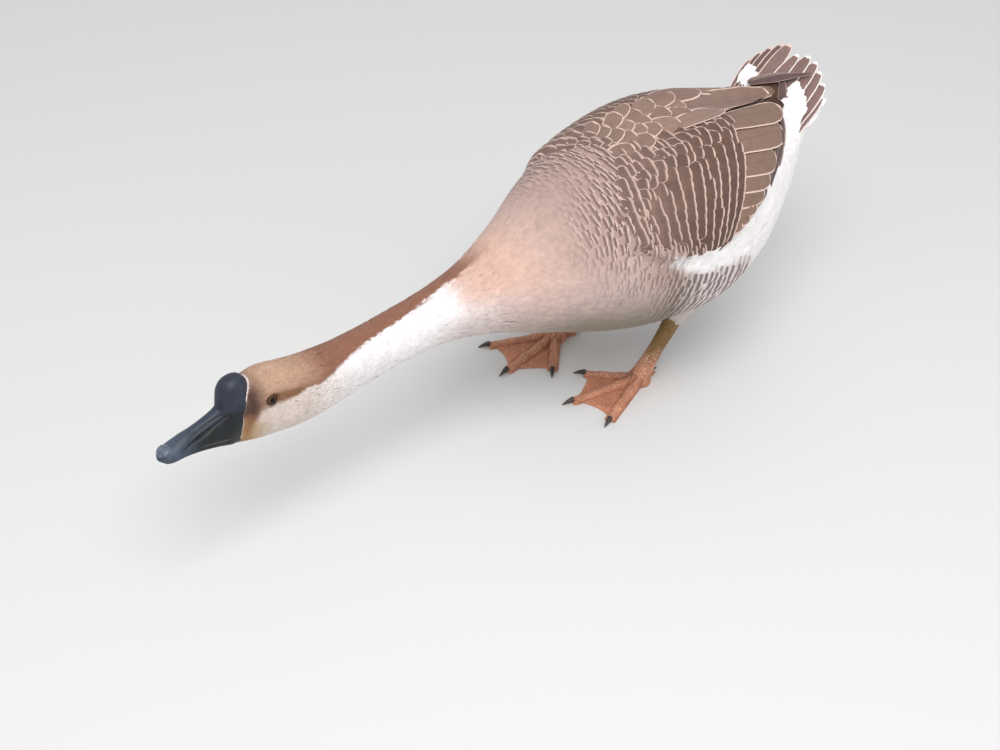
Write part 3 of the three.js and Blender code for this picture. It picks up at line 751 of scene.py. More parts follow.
def joinByUnion(first, others):  # one closed surface from overlapping ones
    for other in others:
        cut = first.modifiers.new("union", "BOOLEAN")
        cut.operation, cut.solver, cut.object = "UNION", "MANIFOLD", other
    graph = bpy.context.evaluated_depsgraph_get()
    mesh = bpy.data.meshes.new_from_object(first.evaluated_get(graph), depsgraph=graph)
    first.modifiers.clear()
    mesh.name = first.data.name + "_mesh"
    first.data = mesh
    for other in others:
        bpy.data.objects.remove(other)


def buildSkin():
    skin = shell("skin", *bodySkin())
    parts = []
    for hand, leg in legs.items():
        knee, hock, low = leg["knee"], leg["hock"], leg["ankle"] + [0, 0, 9]
        shank = [low, mix(low, hock, 0.2), mix(low, hock, 0.5), mix(low, hock, 0.85), mix(hock, knee, 0.25)]
        shank = limbTube(shank, [11, 9.0, 7.8, 9.0, 9.2], 50)
        scutes = np.abs(np.sin(np.linspace(0, 1, 50) * 46))[:, None, None] * 0.25
        shank = shank + unit(shank - shank.mean(1, keepdims=True)) * scutes
        thigh = limbTube([mix(hock, knee, k) for k in (0.02, 0.3, 0.7, 1.0)], [9.5, 16, 22, 24], 24)
        for label, (surface, *marks) in (("shank", [closedTube(shank)]), ("thigh", [closedTube(thigh)]),
                                         ("foot", footSkin(leg))):
            tint = evenTint(surface[0], tints["breast"])
            parts.append(shell(f"{label}_{hand}_skin", surface, tint, *marks))
    joinByUnion(skin, parts)
    mesh = skin.data
    centres = np.zeros(len(mesh.polygons) * 3, np.float32)
    mesh.polygons.foreach_get("center", centres)
    centres = centres.reshape(-1, 3) * 1000 - bodyShift
    bare = centres[:, 2] < 20
    for leg in legs.values():
        way = unit(leg["hock"] - leg["ankle"])
        off = centres - leg["ankle"]
        off = off - (off @ way)[:, None] * way
        bare |= (np.linalg.norm(off, axis=1) < 14) & (centres[:, 2] < 84)
    store(mesh.polygons, "material_index", bare, np.int32)
    store(mesh.polygons, "use_smooth", np.ones(len(bare)), bool)
    mesh.update()
    settle(skin, "body_feathers", "head", "neck_upper", "neck_lower", "breast", "trunk", "rump",
           "thigh_left", "thigh_right", "shank_left", "shank_right", "foot_left", "foot_right")
    print("skin", len(mesh.polygons), "faces")


buildSkin()

# bill

billShape = {"pitch": 4.0, "length": 85.0, "tomium": -22.5, "split": 0.18}
# distance from the base, half width, height of the ridge, depth of the lower bill
billRows = [(-12, 17.5, 54, 13), (0, 17, 48, 12), (14, 16.5, 40, 9.5), (30, 14.5, 28.5, 7),
            (48, 12.8, 19.5, 5.5), (64, 12.4, 14.5, 4.6), (75, 12, 11, 4), (82, 9.8, 8, 3.2),
            (85, 6.5, 5.2, 2.2)]
knob = {"start": -4.6, "length": 29.6, "width": 13.4, "height": 16.4, "middle": (48.0, -6.5), "blend": 0.22}
nail = {"start": 73.0, "length": 13.7, "width": 7.6, "height": 3.9}
nostril = {"q": 45.0, "z": 13.2, "long": 8.4, "tall": 1.8, "deep": 3.2, "slope": -0.36}
# ridge is a painted highlight on the bill's ridges, hole is painted shade in the nostril and grooves
hornTints = {"slate": (0.016, 0.021, 0.034), "base": (0.006, 0.008, 0.009), "tip": (0.050, 0.070, 0.100),
             "edge": (0.30, 0.29, 0.25), "knob": (0.023, 0.029, 0.048), "ridge": (0.034, 0.046, 0.074),
             "hole": (0.0024, 0.0032, 0.0036)}
hornTints = {key: np.array(value) for key, value in hornTints.items()}
# half width of the head where the bill joins it: height over the cutting edge, half width
billBase = [(-12, 0), (-9, 6), (-5.6, 9.6), (-1.4, 12), (4.4, 13.8), (9.5, 14.8), (16.5, 15.7), (28, 15.9),
            (32.5, 15.8), (38, 15.2), (42, 14.4), (46, 13.2)]
# grooves along the bill's side: q, height over the cutting edge as a share of the ridge's
mainGroove = [(14, 0.74), (18, 0.75), (36, 0.71), (45, 0.65), (52, 0.58), (60, 0.48), (68, 0.40)]
upperGroove = [(16, 0.80), (22, 0.83), (28, 0.87), (43, 0.90), (56, 0.88)]


def billPoint(q, x, z):  # q runs forward from the bill's base, x to the left and z up
    centre, back, left, up = bodyFrame(np.array(0.0))
    c, d = waysOf(billShape["pitch"])
    ahead, above = q * c - z * d, q * d + z * c + billShape["tomium"]
    return moved(centre, -ahead, back, x, left, above, up)


def cuttingEdge(q):
    return 1.6 * np.sin(np.pi * clamp(q / billShape["length"])) - 2.2 * ramp(q, 58, 85)


def billField(q, x, z):
    # below 0 inside the upper bill: its dome and the knob, run smoothly into each other
    width, ridge = curve(billRows, q, 1), curve(billRows, q, 2)
    dome = (np.abs(x) / width) ** 2 + (np.abs(z) / ridge) ** 1.7 - 1
    t = (q - knob["start"]) / knob["length"]
    middle = knob["middle"][0] + knob["middle"][1] * t
    ball = (np.abs(2 * t - 1) ** 2.3 + (np.abs(x) / knob["width"]) ** 2.1
            + (np.abs(z - middle) / knob["height"]) ** 2.1 - 1)
    k = knob["blend"]
    return -k * np.logaddexp(-dome / k, -ball / k) + k * 0.12


def flatUnder(q, halfWidth, height, count):  # the points of a jaw's flat side, across from left to right
    x = np.linspace(1, -1, count)[None, 1:-1] * halfWidth
    q = np.broadcast_to(q[:, None], x.shape)
    return billPoint(q, x, cuttingEdge(q) + height)


def upperBill():
    # rays from a point low in each section out to the field's surface, found by halving
    q = np.append(spread((-10, 30, 44), (30, 60, 44), (60, 82, 26), (82, 86.2, 10)), 86.2)
    q2, a = np.meshgrid(q, np.radians(np.linspace(0, 180, 72)), indexing="ij")
    shrink = np.sqrt(clamp(1 - ramp(q2, 80, 87.5) ** 2, 0.02))
    ridge, dx, dz = curve(billRows, q2, 2), np.cos(a), np.sin(a)
    start = 0.30 * ridge * dz
    low, high = np.zeros(q2.shape), np.full(q2.shape, 80.0)
    for _ in range(26):
        r = (low + high) / 2
        inside = billField(q2, r * dx, start + r * dz) < 0
        low, high = np.where(inside, r, low), np.where(inside, high, r)
    x, z = low * dx * shrink, (start + low * dz) * shrink
    share = z / ridge
    # a long groove from the base through the nostril, one above it, and a step below it to the dark side
    off1, off2 = ((share - line(table, q2)) * ridge for table in (mainGroove, upperGroove))
    length1, length2 = ramp(q2, 12, 20) * fall(q2, 58, 70), ramp(q2, 18, 26) * fall(q2, 50, 60)
    groove = bell(off1 / 1.2) * length1 + bell(off2) * length2
    shelf = ramp(off1, -4.5, -1.0) * fall(off1, 1.0, 5.0) * length1
    u = (q2 - nostril["q"]) / nostril["long"]
    w = (z - nostril["z"] - (q2 - nostril["q"]) * nostril["slope"]) / nostril["tall"]
    hole = np.exp(-((u**2 + w**2) ** 2) * 1.2)
    push = -1.7 * groove - 1.0 * shelf - nostril["deep"] * hole + 0.4 * bell((np.hypot(u, w) - 1.45) / 0.35)
    # teeth along the cutting edge and faint wrinkles where knob and bill meet
    teeth = 0.22 * np.sin(q2 * 3.4) * bell(z / 1.8) * ramp(q2, 10, 20) * fall(q2, 66, 76)
    wrinkle = 0.3 * np.sin(q2 * 1.5 + z * 0.6) * bell((z - 33) / 7) * ramp(q2, 6, 14)
    atEdge = (a < 0.01) | (a > math.pi - 0.01)
    push = np.where(atEdge, 0, push + teeth + wrinkle * fall(q2, 28, 38))
    side = clamp(np.abs(dx) * 1.4)
    collar = fall(q2, 5, 22) * fall(z, 40, 47) * (np.abs(x) > 0.1)
    aside = np.sign(x) * np.abs(dx)
    x = np.sign(x) * mix(np.abs(x), line(billBase, z), collar) + aside * push * side
    z = z + dz * push * (1 - side)
    top = billPoint(q2, x, cuttingEdge(q2) + billShape["split"] + z)
    under = flatUnder(q, -np.abs(x[:, :1]), billShape["split"], 12)
    tint = layered(np.zeros(top.shape) + hornTints["slate"], hornTints, [
        ("base", ramp(off1, 2, -3) * fall(q2, 40, 62) * 0.9),
        # painted highlights: the top of the bill and the rise above the main groove made paler
        ("ridge", ramp(share, 0.80, 0.96) * ramp(q2, 20, 32) * 0.8),
        ("ridge", bell((off1 - 3.2) / 1.6) * length1 * 0.6),
        ("knob", fall(q2, 20, 32) * ramp(z, 30, 42)),
        ("tip", ramp(q2, 48, 74) * 0.9),
        # painted shade: the nostril and the grooves darkened
        ("hole", clamp(hole * 1.4 + groove * 0.8)),
        ("edge", bell((z - 3.4) / 0.5) * ramp(q2, 16, 24) * fall(q2, 40, 52) * 0.28)])
    tint = joined([tint, np.zeros(under.shape) + hornTints["base"]], 1)
    return closedTube(joined([top, under], 1)), withEnds(tint)


def lowerBill():
    # a shallow trough under the cutting edge, with a groove along its middle where the two jaws join
    q = np.append(spread((-6, 60, 40), (60, 80.5, 24)), 80.5)
    q2, a = np.meshgrid(q, np.radians(np.linspace(0, 180, 44)), indexing="ij")
    shrink = np.sqrt(clamp(1 - ramp(q2, 74, 82) ** 2, 0.03))
    width = (curve(billRows, q2, 1) - 1.5) * shrink * mix(0.74, 1, ramp(q2, 2, 18))
    x = width * np.cos(a)
    z = (0.8 * bell(x / 2.2) * ramp(q2, 6, 20) - curve(billRows, q2, 3) * shrink) * np.sin(a)
    top = billPoint(q2, x, cuttingEdge(q2) - billShape["split"] + z)
    under = flatUnder(q, -width[:, :1], -billShape["split"], 10)
    surface = closedTube(joined([top, under], 1))
    return surface, evenTint(surface[0], hornTints["slate"] * 0.8)


def nailCap():  # a low oval bead over the tip, hooked down a little at the front
    t, a = np.linspace(0.004, 0.996, 34)[:, None], fullTurn(48)
    swell = np.sqrt(1 - (2 * t - 1) ** 2)
    z = 7 - 4 * t**2 + nail["height"] * swell * np.sin(a)
    q = nail["start"] + nail["length"] * t + 0 * a
    return closedTube(billPoint(q, nail["width"] * swell * np.cos(a), z))


for name, (surface, tint), nodes in (("upper_bill", upperBill(), ("bill_upper", "knob")),
                                     ("lower_bill", lowerBill(), ("bill_lower",))):
    settle(makeMesh(name, surface, [slateHorn], tint=tint), "bill_horn", *nodes)
settle(makeMesh("tip_nail", nailCap(), [nailHorn]), "nail_horn", "bill_nail")
print("bill")

# eyes and claws

claw = {"length": 12.0, "width": 3.0, "height": 3.3, "taper": 0.12}

for side, hand in ((1, "left"), (-1, "right")):
    # a flattened ball, with a slightly raised cornea over the iris
    centre, back, up, out = eyeAxes(side)
    t, a = np.radians(np.linspace(2, 178, 44))[:, None], fullTurn(48)
    across = eyeShape["across"] * np.sin(t)
    front = np.cos(t) > 0
    deep = eyeShape["deep"] * np.cos(t) + 0.25 * bell(across / 3.4) * front
    surface = closedTube(moved(centre, across * np.cos(a), back, across * np.sin(a), up, deep, out))
    outness = np.append(np.where(front, across / 6.0, 2.0) + 0 * a, [0, 2])
    settle(makeMesh(f"eyeball_{hand}", surface, [eyeGlass], out=outness), "eye", f"eye_{hand}")

for hand, leg in legs.items():
    for toeName, (angle, length, _, _) in toes.items():
        # a tapered horn curved down to the floor, rounder above than below
        size = 0.7 if toeName == "hind" else 1.0
        c, d = waysOf(leg["heading"] + leg["side"] * angle)
        t, a = np.linspace(0, 1, 16)[:, None], fullTurn(20)
        thick = size * mix(1, claw["taper"], t**1.5)
        tall = np.where(np.sin(a) > 0, claw["height"], claw["height"] * 0.72) * thick * np.sin(a)
        reach = length - 1.6 + (claw["length"] + 1.2) * size * t
        beside = claw["width"] * thick * np.cos(a)
        z = np.maximum(mix(3.9, 0.75, t**1.8) + tall, 0.05)
        rings = leg["ankle"] + np.stack([reach * d + beside * c, beside * d - reach * c, z], -1)
        piece = makeMesh(f"nail_{hand}_{toeName}", closedTube(rings), [clawHorn])
        settle(piece, "claw_horn", f"claw_{hand}_{toeName}")
print("eyes and claws")

# feathers


def vaneTemplate(stations, columns, wide, power, root=0.3):
    # one closed vane: rows of points over and under, from a point at the root to a point at the tip. Its
    # outline widens from the root to full width at "wide", then closes as a superellipse
    ring, rows = 2 * columns, len(stations)
    across = np.linspace(-1, 1, columns + 1)
    t = joined([[0], np.repeat(stations, ring), [1]])
    w = joined([[0], np.tile(joined([across, across[-2:0:-1]]), rows), [0]])
    over = [0.0] + [1.0] * (columns - 1) + [0.0] + [-1.0] * (columns - 1)
    face = joined([[0], np.tile(over, rows), [0]])
    rise = root + (1 - root) * ramp(t, 0, wide)
    close = clamp(1 - clamp((t - wide) / (1 - wide)) ** power) ** (1 / power)
    first, last = 1 + np.arange(ring), 1 + (rows - 1) * ring + np.arange(ring)
    fans = joined([capFaces(first, 0), capFaces(last, len(t) - 1, True)])
    return {"t": t, "w": w, "face": face, "outline": rise * close, "rim": face == 0,
            "faces": [gridFaces(rows, ring, start=1), fans]}


def featherBlock(template, surface, a, b, angle, length, width, lift=0.0, slope=0.05, camber=0.05, tilt=0.0,
                 sink=0.0, thick=0.25, side=1, root=None):
    # lays a vane at each place (a, b) of a surface, its length at an angle from the first direction towards
    # the second. Every point of a vane is put on the surface again, lifted more towards the tip and the
    # shaft; sink lets the rim dip into the vanes beside it. root is its place on the skin's unwrap
    a, b, angle, length, width, lift, slope, camber, tilt, sink = np.stack(
        matched(a, b, angle, length, width, lift, slope, camber, tilt, sink))[..., None]
    scaleA = np.linalg.norm(surface(a + 1, side * b) - surface(a - 1, side * b), axis=-1) / 2
    t, w, face, outline = (template[key][None, :] for key in ("t", "w", "face", "outline"))
    along = t * length
    across = w * outline * width / 2
    c, s = waysOf(angle)
    back = a + (along * c - across * s) / scaleA
    scaleB = np.linalg.norm(surface(back, side * (b + 1.5)) - surface(back, side * (b - 1.5)), axis=-1) / 3
    places = back, side * (b + (along * s + across * c) / np.maximum(scaleB, 0.12))
    body = 1 - w**2
    raised = (lift + slope * along + camber * width * body * outline + tilt * across
              - sink * (w**2 * outline + ramp(t, 0.7, 1.0)) + face * thick * (0.35 + 0.65 * body))
    return {"points": surface(*places, raised), "template": template, "places": places,
            "size": (length[:, 0], width[:, 0]), "root": root or (a[:, 0], side * b[:, 0])}


def paint(block, tint, uneven=0.05, edge=0.0, bar=0.0, show=0.3, rim=(1.5, 1.0)):
    # gives a block its colours and pattern. rim is the pale rim's width in mm at the tip and at the sides
    number, points = block["points"].shape[:2]
    tint = np.asarray(tint)
    if tint.ndim < 3:
        tint = tint.reshape(-1, 1, 3)
    shade = 1 + rng.normal(0, uneven, number)
    length, width = block["size"]
    each = {"pattern": (edge, bar, show), "rims": (rim[0] / length, rim[1] / (width / 2), length * 1.6)}
    for key, columns in each.items():
        rows = np.stack([np.broadcast_to(x, number) for x in columns], -1)
        block[key] = np.repeat(rows, points, axis=0)
    block["tint"] = clamp(tint * shade[:, None, None] * np.ones((number, points, 1))).reshape(-1, 3)
    return block


def bakePlace(s, v):  # the unwrap of the skin with a margin round it: v across, s along
    across, along = np.mod(v + 180, 360) / 360, clamp((s + 20) / 900)
    return 0.02 + 0.96 * np.stack([across, along], -1)


def makePlumage(name, slot, blocks, *nodes):
    # joins blocks of vanes into one piece, with the maps and attributes that the plumage material reads
    faceSets, vaneMap, bakeMap, count = [[], []], [[], []], [[], []], 0
    for block in blocks:
        template, vanes = block["template"], block["points"]
        number, size = vanes.shape[:2]
        block["rim"] = np.tile(template["rim"], number)
        rootPlace = bakePlace(*block["root"])
        for k, faces in enumerate(outwards(vanes[0] - vanes[0].mean(0), template["faces"])):
            local = faces[None] + (count + np.arange(number) * size)[:, None, None]
            faceSets[k].append(local.reshape(-1, faces.shape[1]))
            w, t = template["w"][faces], template["t"][faces]
            if k == 1:  # the end points take the place across of the edge they close
                w = np.where((faces == 0) | (faces == size - 1), (w.sum(1, keepdims=True)) / 2, w)
            flat = np.stack([w / 2 + 0.5, t], -1).reshape(1, -1, 2)
            vaneMap[k].append(np.tile(flat, (number, 1, 1)).reshape(-1, 2))
            bakeMap[k].append((rootPlace[:, None, :] + (flat - 0.5) * 0.003).reshape(-1, 2))
        count += number * size
    points = joined([block["points"].reshape(-1, 3) for block in blocks])
    faces = [joined(part) for part in faceSets]
    maps = {"OFBake": joined(sum(bakeMap, [])), "Vane": joined(sum(vaneMap, []))}
    by = {key: joined([block[key] for block in blocks]) for key in ("rim", "pattern", "rims", "tint")}
    settle(makeMesh(name, (points, faces), [plumage], maps, **by), slot, *nodes)
    print(name, sum(len(f) * (f.shape[1] - 2) for f in faces), "triangles")


tuft = vaneTemplate([0.3, 0.68, 0.9], 2, 0.45, 1.9)
contour = vaneTemplate([0.2, 0.5, 0.75, 0.9, 0.975], 2, 0.55, 2.2)
rowVane = vaneTemplate([0.25, 0.55, 0.76, 0.87, 0.94, 0.98], 3, 0.60, 2.6)
covertVane = vaneTemplate([0.1, 0.35, 0.6, 0.78, 0.88, 0.95, 0.985], 4, 0.76, 2.8, 0.5)
broad = vaneTemplate([0.12, 0.35, 0.55, 0.7, 0.82, 0.91, 0.965, 0.993], 4, 0.56, 2.1, 0.7)
flightStations = [0.05, 0.2, 0.4, 0.6, 0.75, 0.86, 0.93, 0.975, 0.995]
flight = vaneTemplate(flightStations, 4, 0.70, 2.3, 0.85)
rectrix = vaneTemplate(flightStations, 4, 0.70, 2.1, 0.6)
pointed = vaneTemplate([0.08, 0.25, 0.45, 0.65, 0.8, 0.9, 0.96, 0.99], 4, 0.45, 1.35, 0.6)

# the coat's vanes along the bird: s, length, width
coat = [(-15, 3.6, 1.8), (0, 4.4, 2.0), (25, 6.0, 2.4), (60, 9, 3.2), (110, 14, 4.4), (180, 19, 5.8),
        (250, 24, 8), (300, 29, 10), (380, 33, 13), (480, 36, 18), (600, 38, 20), (690, 34, 15),
        (733, 28, 12)]
# first and last s of the soft coats, and their spacing along and across as shares of a vane's size
soft = {"head": (-14, 96, 0.34, 0.72), "neck": (92, 305, 0.21, 0.56), "rear": (600, 722, 0.17, 0.40)}
bodyReach = (312, 640)


def aroundBody(s, around, count, uneven, offset):
    # places round the body on the path (s, around), a little unevenly spaced. count gives their number from
    # the path's length, and offset the part of a step by which they are turned
    walk = walked(bodySurface(s, around))
    number = count(walk[-1])
    marks = (np.arange(number) + offset() + rng.normal(0, uneven, number)) / number * walk[-1]
    return np.interp(np.mod(marks, walk[-1]), walk, around), number


def lattice(first, last, spacingAlong, spacingAcross):
    # staggered rows of places over the body, evenly spaced in mm as the coat's own size asks
    rows, s = [], first
    while s < last:
        step, width = line(coat, s) * spacingAlong, line(coat, s, 2) * spacingAcross
        v, number = aroundBody(s, np.linspace(-180, 180, 241), lambda long: max(int(long / width), 3), 0.16,
                               rng.random)
        rows.append(np.stack([s + rng.normal(0, 0.16, number) * step, v]))
        s += step
    return joined(rows, 1)


def coatBlock(template, s, v, angle, surface=bodySurface, size=None, rise=0.0, uneven=0.04, edge=0.0,
              bar=0.0, show=0.3, rim=(1.3, 0.6), **how):
    # the coat's vanes at places (s, v), rooted in the skin, with the colours of the markings and their
    # painted shade
    length, width = size or (line(coat, s), line(coat, s, 2))
    length = length * rng.uniform(0.92, 1.08, len(s))
    width = width * rng.uniform(0.94, 1.06, len(s))
    deep = line(skinDepth, s) * 0.95
    block = featherBlock(template, surface, s, v, angle + rng.normal(0, 4, len(s)), length, width,
                         slope=deep / length, lift=headRelief(s, v) - deep + rise, **how)
    jitter = (rng.normal(0, 1, len(s)) * clamp(length * 0.08, 0, 1.6))[:, None]
    return paint(block, markingsAndShade(*block["places"], jitter), uneven, edge, bar, show, rim)


def lieOn(s, v):  # feathers of the flank sweep a little down, those of the face back and down
    a = np.abs(v)
    sweep = 10 * bell((s - 30) / 40) * ramp(a, 60, 100) + 12 * ramp(s, 300, 420) * ramp(a, 20, 60)
    return np.sign(v) * sweep * fall(a, 140, 175)


# how far the rows of body feathers bend back round the folded wing: degrees from the back, mm
rowBend = [(0, 34), (9, 28), (20, 16), (35, 2), (48, -3), (61, -2), (70, 3), (80, 16), (90, 18), (105, 10),
           (125, 0), (180, 0)]
# between the rows of tips, and between the vanes of a row: s, mm
bodyPitch = [(290, 4.2), (360, 4.6), (420, 4.9), (450, 7.4), (475, 9.2), (640, 9.2)]
bodyApart = [(290, 7.0), (350, 8.0), (390, 11.5), (440, 12.0), (480, 11.0), (640, 11.0)]
bodyWidth = [(300, 13), (360, 14), (410, 18), (450, 20), (640, 20)]


def bodyRows(first, last):
    # rows of vane tips round the body. A row keeps its distance from the wing's front edge, and its vanes
    # stand between those of the rows before and after it
    rows, r = [], first
    while r < last:
        around = np.linspace(-180, 180, 721)
        s = r + ramp(r, 320, 425) * fall(r, 455, 530) * line(rowBend, np.abs(around))
        v, number = aroundBody(s, around, lambda long: int(long / line(bodyApart, r)), 0.06,
                               lambda: 0.5 * (len(rows) % 2))
        rows.append(np.stack([np.interp(v, around, s) + rng.normal(0, 0.4, number), v]))
        r += line(bodyPitch, r)
    return joined(rows, 1)


def bodyCoat():
    # breast, shoulders and flanks, split by region into pieces
    s, v = bodyRows(*bodyReach)
    a = np.abs(v)
    upper, lower = line(wingRows, s, 1), line(wingRows, s, 2)
    onBack = (a < upper + 4) & (s < 505)
    below = a > lower - mix(8, 0, ramp(s, 455, 490)) + 8 * ramp(s, 540, 590) + 10 * ramp(s, 600, 632)
    keep = (s < 440) | onBack | below
    s, v, a, lower = (x[keep] for x in (s, v, a, lower))
    shoulder = ramp(s - line(rowBend, a) * ramp(s, 320, 425), 350, 412) * fall(a, 88, 108)
    atWing = ramp(s, 430, 445) * fall(s, 480, 500) * ramp(a, 58, 66) * fall(a - lower, -4, 1)
    shoulder = np.maximum(shoulder * (1 - ramp(s, 455, 480) * ramp(a, 60, 70)), atWing)
    barred = barring(s, v)
    length, width, angle = mix(30, 36, ramp(s, 330, 470)), curve(bodyWidth, s), lieOn(s, v)
    rise = 1.6 * ramp(s, 425, 440) * ramp(a, lower - 12, lower - 2) * fall(a, lower + 2, lower + 12)
    rise = rise * fall(s, 495, 540)
    (c, d), wide = waysOf(angle), np.radians(np.maximum(line(sections, s, 4), 20))
    edge = np.maximum(mix(0.72, 0.5, ramp(a, 50, 75)) * shoulder, 0.25 * barred)
    bar = np.maximum(mix(0.78, 0.5, ramp(a, 50, 80)) * shoulder, 0.85 * barred)
    show = mix(5.4, 9.4, ramp(s, 440, 475)) / length
    sink = mix(0.9, 0.25, np.maximum(shoulder, barred))
    columns = [s - length * c, v - length * d / wide, angle, length, width, rise, edge, bar, show, sink]
    mantle, breast = (a < 62) & (s < 520), (a >= 62) & (s < 470)
    for name, slot, chosen in (("mantle_plumage", "body_feathers", mantle),
                               ("breast_plumage", "breast_feathers", breast),
                               ("flank_plumage", "breast_feathers", ~(mantle | breast))):
        s, v, angle, length, width, rise, edge, bar, show, sink = np.array(columns)[:, chosen]
        block = coatBlock(rowVane, s, v, angle, wingSurface, (length, width), rise, 0.03, edge, bar, show,
                          (1.6, 0.4), camber=0.005, thick=0.15, sink=sink)
        makePlumage(name, slot, [block])


s, v = lattice(*soft["head"])
s = np.maximum(s, faceEdge(v) + rng.uniform(0, 0.8, len(s)))
keep = nearEye(bodySurface(s + 2.0, v)) > 1.42
s, v = s[keep], v[keep]
block = coatBlock(tuft, s, v, lieOn(s, v), camber=0.02, thick=0.10, sink=0.12, uneven=0.05)
makePlumage("head_plumage", "crown_feathers", [block])

s, v = lattice(*soft["neck"])
sink = mix(0.25, 0.6, ramp(s, 120, 260))
block = coatBlock(tuft, s, v, lieOn(s, v), camber=0.0, thick=0.10, sink=sink, uneven=0.025)
makePlumage("neck_plumage", "neck_feathers", [block])

bodyCoat()

# long soft white vanes round the vent and the root of the tail
s, v = lattice(*soft["rear"])
keep = (np.abs(v) > line(wingRows, s, 2) + 9) & ~((s > 650) & (np.abs(v) < 38))
s, v = s[keep], v[keep]
block = coatBlock(contour, s, v, lieOn(s, v), wingSurface, camber=0.02, thick=0.16, sink=0.5, uneven=0.02)
makePlumage("rear_plumage", "rump_feathers", [block])

# wings

wing = {"arcs": 13, "growth": 1.15, "spacing": (17.0, 10.0), "long": (28.0, 54.0), "width": (25.0, 18.0)}
# tips of the first and last row of coverts: degrees from the back, s
covertFront = [(4, 464), (9, 458), (20, 446), (35, 432), (48, 427), (61, 428), (70, 434), (80, 452),
               (88, 474)]
covertLast = [(4, 606), (11, 601), (24, 593), (34, 579), (47, 565), (60, 547), (72, 529), (81, 516),
              (88, 506)]
# the secondaries from the lowest to the highest: tip s and degrees, length, width, degrees downwards
secondaries = [(533, 77, 40, 14, 14), (546, 75.5, 43, 15, 14), (559, 73, 48, 17, 15),
               (575, 69.5, 54, 20, 16), (595, 64.5, 62, 24, 17), (620, 59, 72, 29, 15),
               (650, 47, 86, 36, 11), (663, 27, 88, 37, 6)]
# the right wing's long innermost feathers, which reach over the rump
innermost = [(700, 15, 96, 28, 5), (712, 27, 106, 24, 4)]
primaries = [(566, 77.5, 50, 12, -4), (592, 73, 60, 13, -8), (618, 67, 66, 13, -10),
             (647, 58.5, 72, 13, -12), (672, 47.5, 76, 13, -17), (694, 31, 80, 13, -22)]
# the longest feathers of the back, from the rear: tip s and degrees, length, width, degrees downwards, rise
backFeathers = [(677, -4, 104, 38, 0, 7.0), (650, -22, 92, 36, -3, 3.6), (634, -2, 84, 38, 1, 2.2),
                (612, -20, 84, 36, -4, 1.8), (600, 9, 72, 30, 3, 1.6)]
# the middle line of the rows of back feathers, right of the spine, and their half width: s, degrees
backMiddle = [(470, -5), (500, -8), (550, -8), (600, -4)]
backHalf = [(470, 20), (502, 17), (540, 16), (600, 13)]

bed = {"s": (418, 694), "share": (0.06, 0.94), "top": -2.6, "low": -4.4}
# rows of scapulars: tip s of each, and from the first to the last row the spacing, length, width and slant
scapularRows = {"tips": (484, 502, 522, 545, 572), "apart": (17.0, 24.0), "long": (38.0, 66.0),
                "width": (26.0, 36.0), "slant": (8, 4)}


def evenly(path, spacing, first):
    # places along a path of points, as shares of its point numbers, a changing spacing in mm apart
    steps = np.linalg.norm(np.diff(path, axis=0), axis=1)
    count = joined([[0], np.cumsum(steps * 2 / (spacing[1:] + spacing[:-1]))])
    return np.interp(np.arange(first, count[-1]), count, np.arange(len(path)))


def wingVanes(template, s, v, angle, length, width, **how):  # vanes on the wing by the places of their tips
    wide = np.linalg.norm(wingSurface(s, v + 1.0) - wingSurface(s, v - 1.0), axis=-1) / 2
    c, d = waysOf(angle)
    s, v = s - length * c, v - length * d / wide
    return featherBlock(template, wingSurface, s, v, angle, length, width, **how)


def coverts(side):
    blocks = []
    for i in range(wing["arcs"]):
        k = (i / (wing["arcs"] - 1)) ** wing["growth"]
        v = np.linspace(mix(5, 15, k), 88, 250)
        s = mix(line(covertFront, v), line(covertLast, v), k)
        inside = v < line(wingRows, s, 2) - 1.0
        s, v = s[inside], v[inside]
        spacing = mix(*wing["spacing"], ramp(v, 18, 46)) * mix(0.8, 1, ramp(i, 0, 6))
        at = evenly(wingSurface(s, v), spacing, rng.random())
        turn = np.degrees(np.arctan2(-np.gradient(s), np.gradient(v) * line(sections, s, 4) * np.pi / 180))
        s, v, turn = (np.interp(at, np.arange(len(x)), x) for x in (s, v, turn))
        low, number = ramp(v, 18, 46), len(s)
        s = s + rng.normal(0, 1, number) * mix(1.6, 0.35, low)
        long = mix(*wing["long"], ramp(i, 0, 9)) * rng.uniform(0.96, 1.04, number)
        width = mix(*wing["width"], low) * mix(0.78, 1.0, ramp(i, 0, 7)) * rng.uniform(0.95, 1.05, number)
        angle = mix(5, clamp(turn, 2, 34), ramp(v, 8, 40)) + rng.normal(0, 1.2, number)
        sunk = (1.2 if side < 0 else 0.4) * fall(v, 14, 30) * ramp(s, 470, 495)  # under the back feathers
        block = wingVanes(covertVane, s, v, angle, long, width, lift=-3.4 - sunk, slope=3.6 / long,
                          camber=mix(0.018, 0.008, low), tilt=mix(-0.03, 0.0, low), thick=0.3, side=side)
        tint = layered(evenTint(s, tints["covert"]), tints, [
            ("covertLow", ramp(v, 45, 80) * 0.7), ("mantle", fall(i, 0, 9) * 0.38)])
        blocks.append(paint(block, tint, 0.07, mix(0.58, 0.86, ramp(i, 1, 12)), 0.4, 11.0 / long,
                            (2.2, mix(1.6, 0.4, low))))
    return blocks


def flightFeathers(table, side, tint, lift, rise, tilt, edge):
    s, v, long, width, angle = np.array(table, float).T
    block = wingVanes(flight, s, v, angle, long, width, lift=lift + 0.12 * np.arange(len(s)),
                      slope=rise / long, camber=0.01, tilt=tilt, thick=0.35, side=side)
    return paint(block, tints[tint], 0.05, edge, rim=(2.0, 1.6))


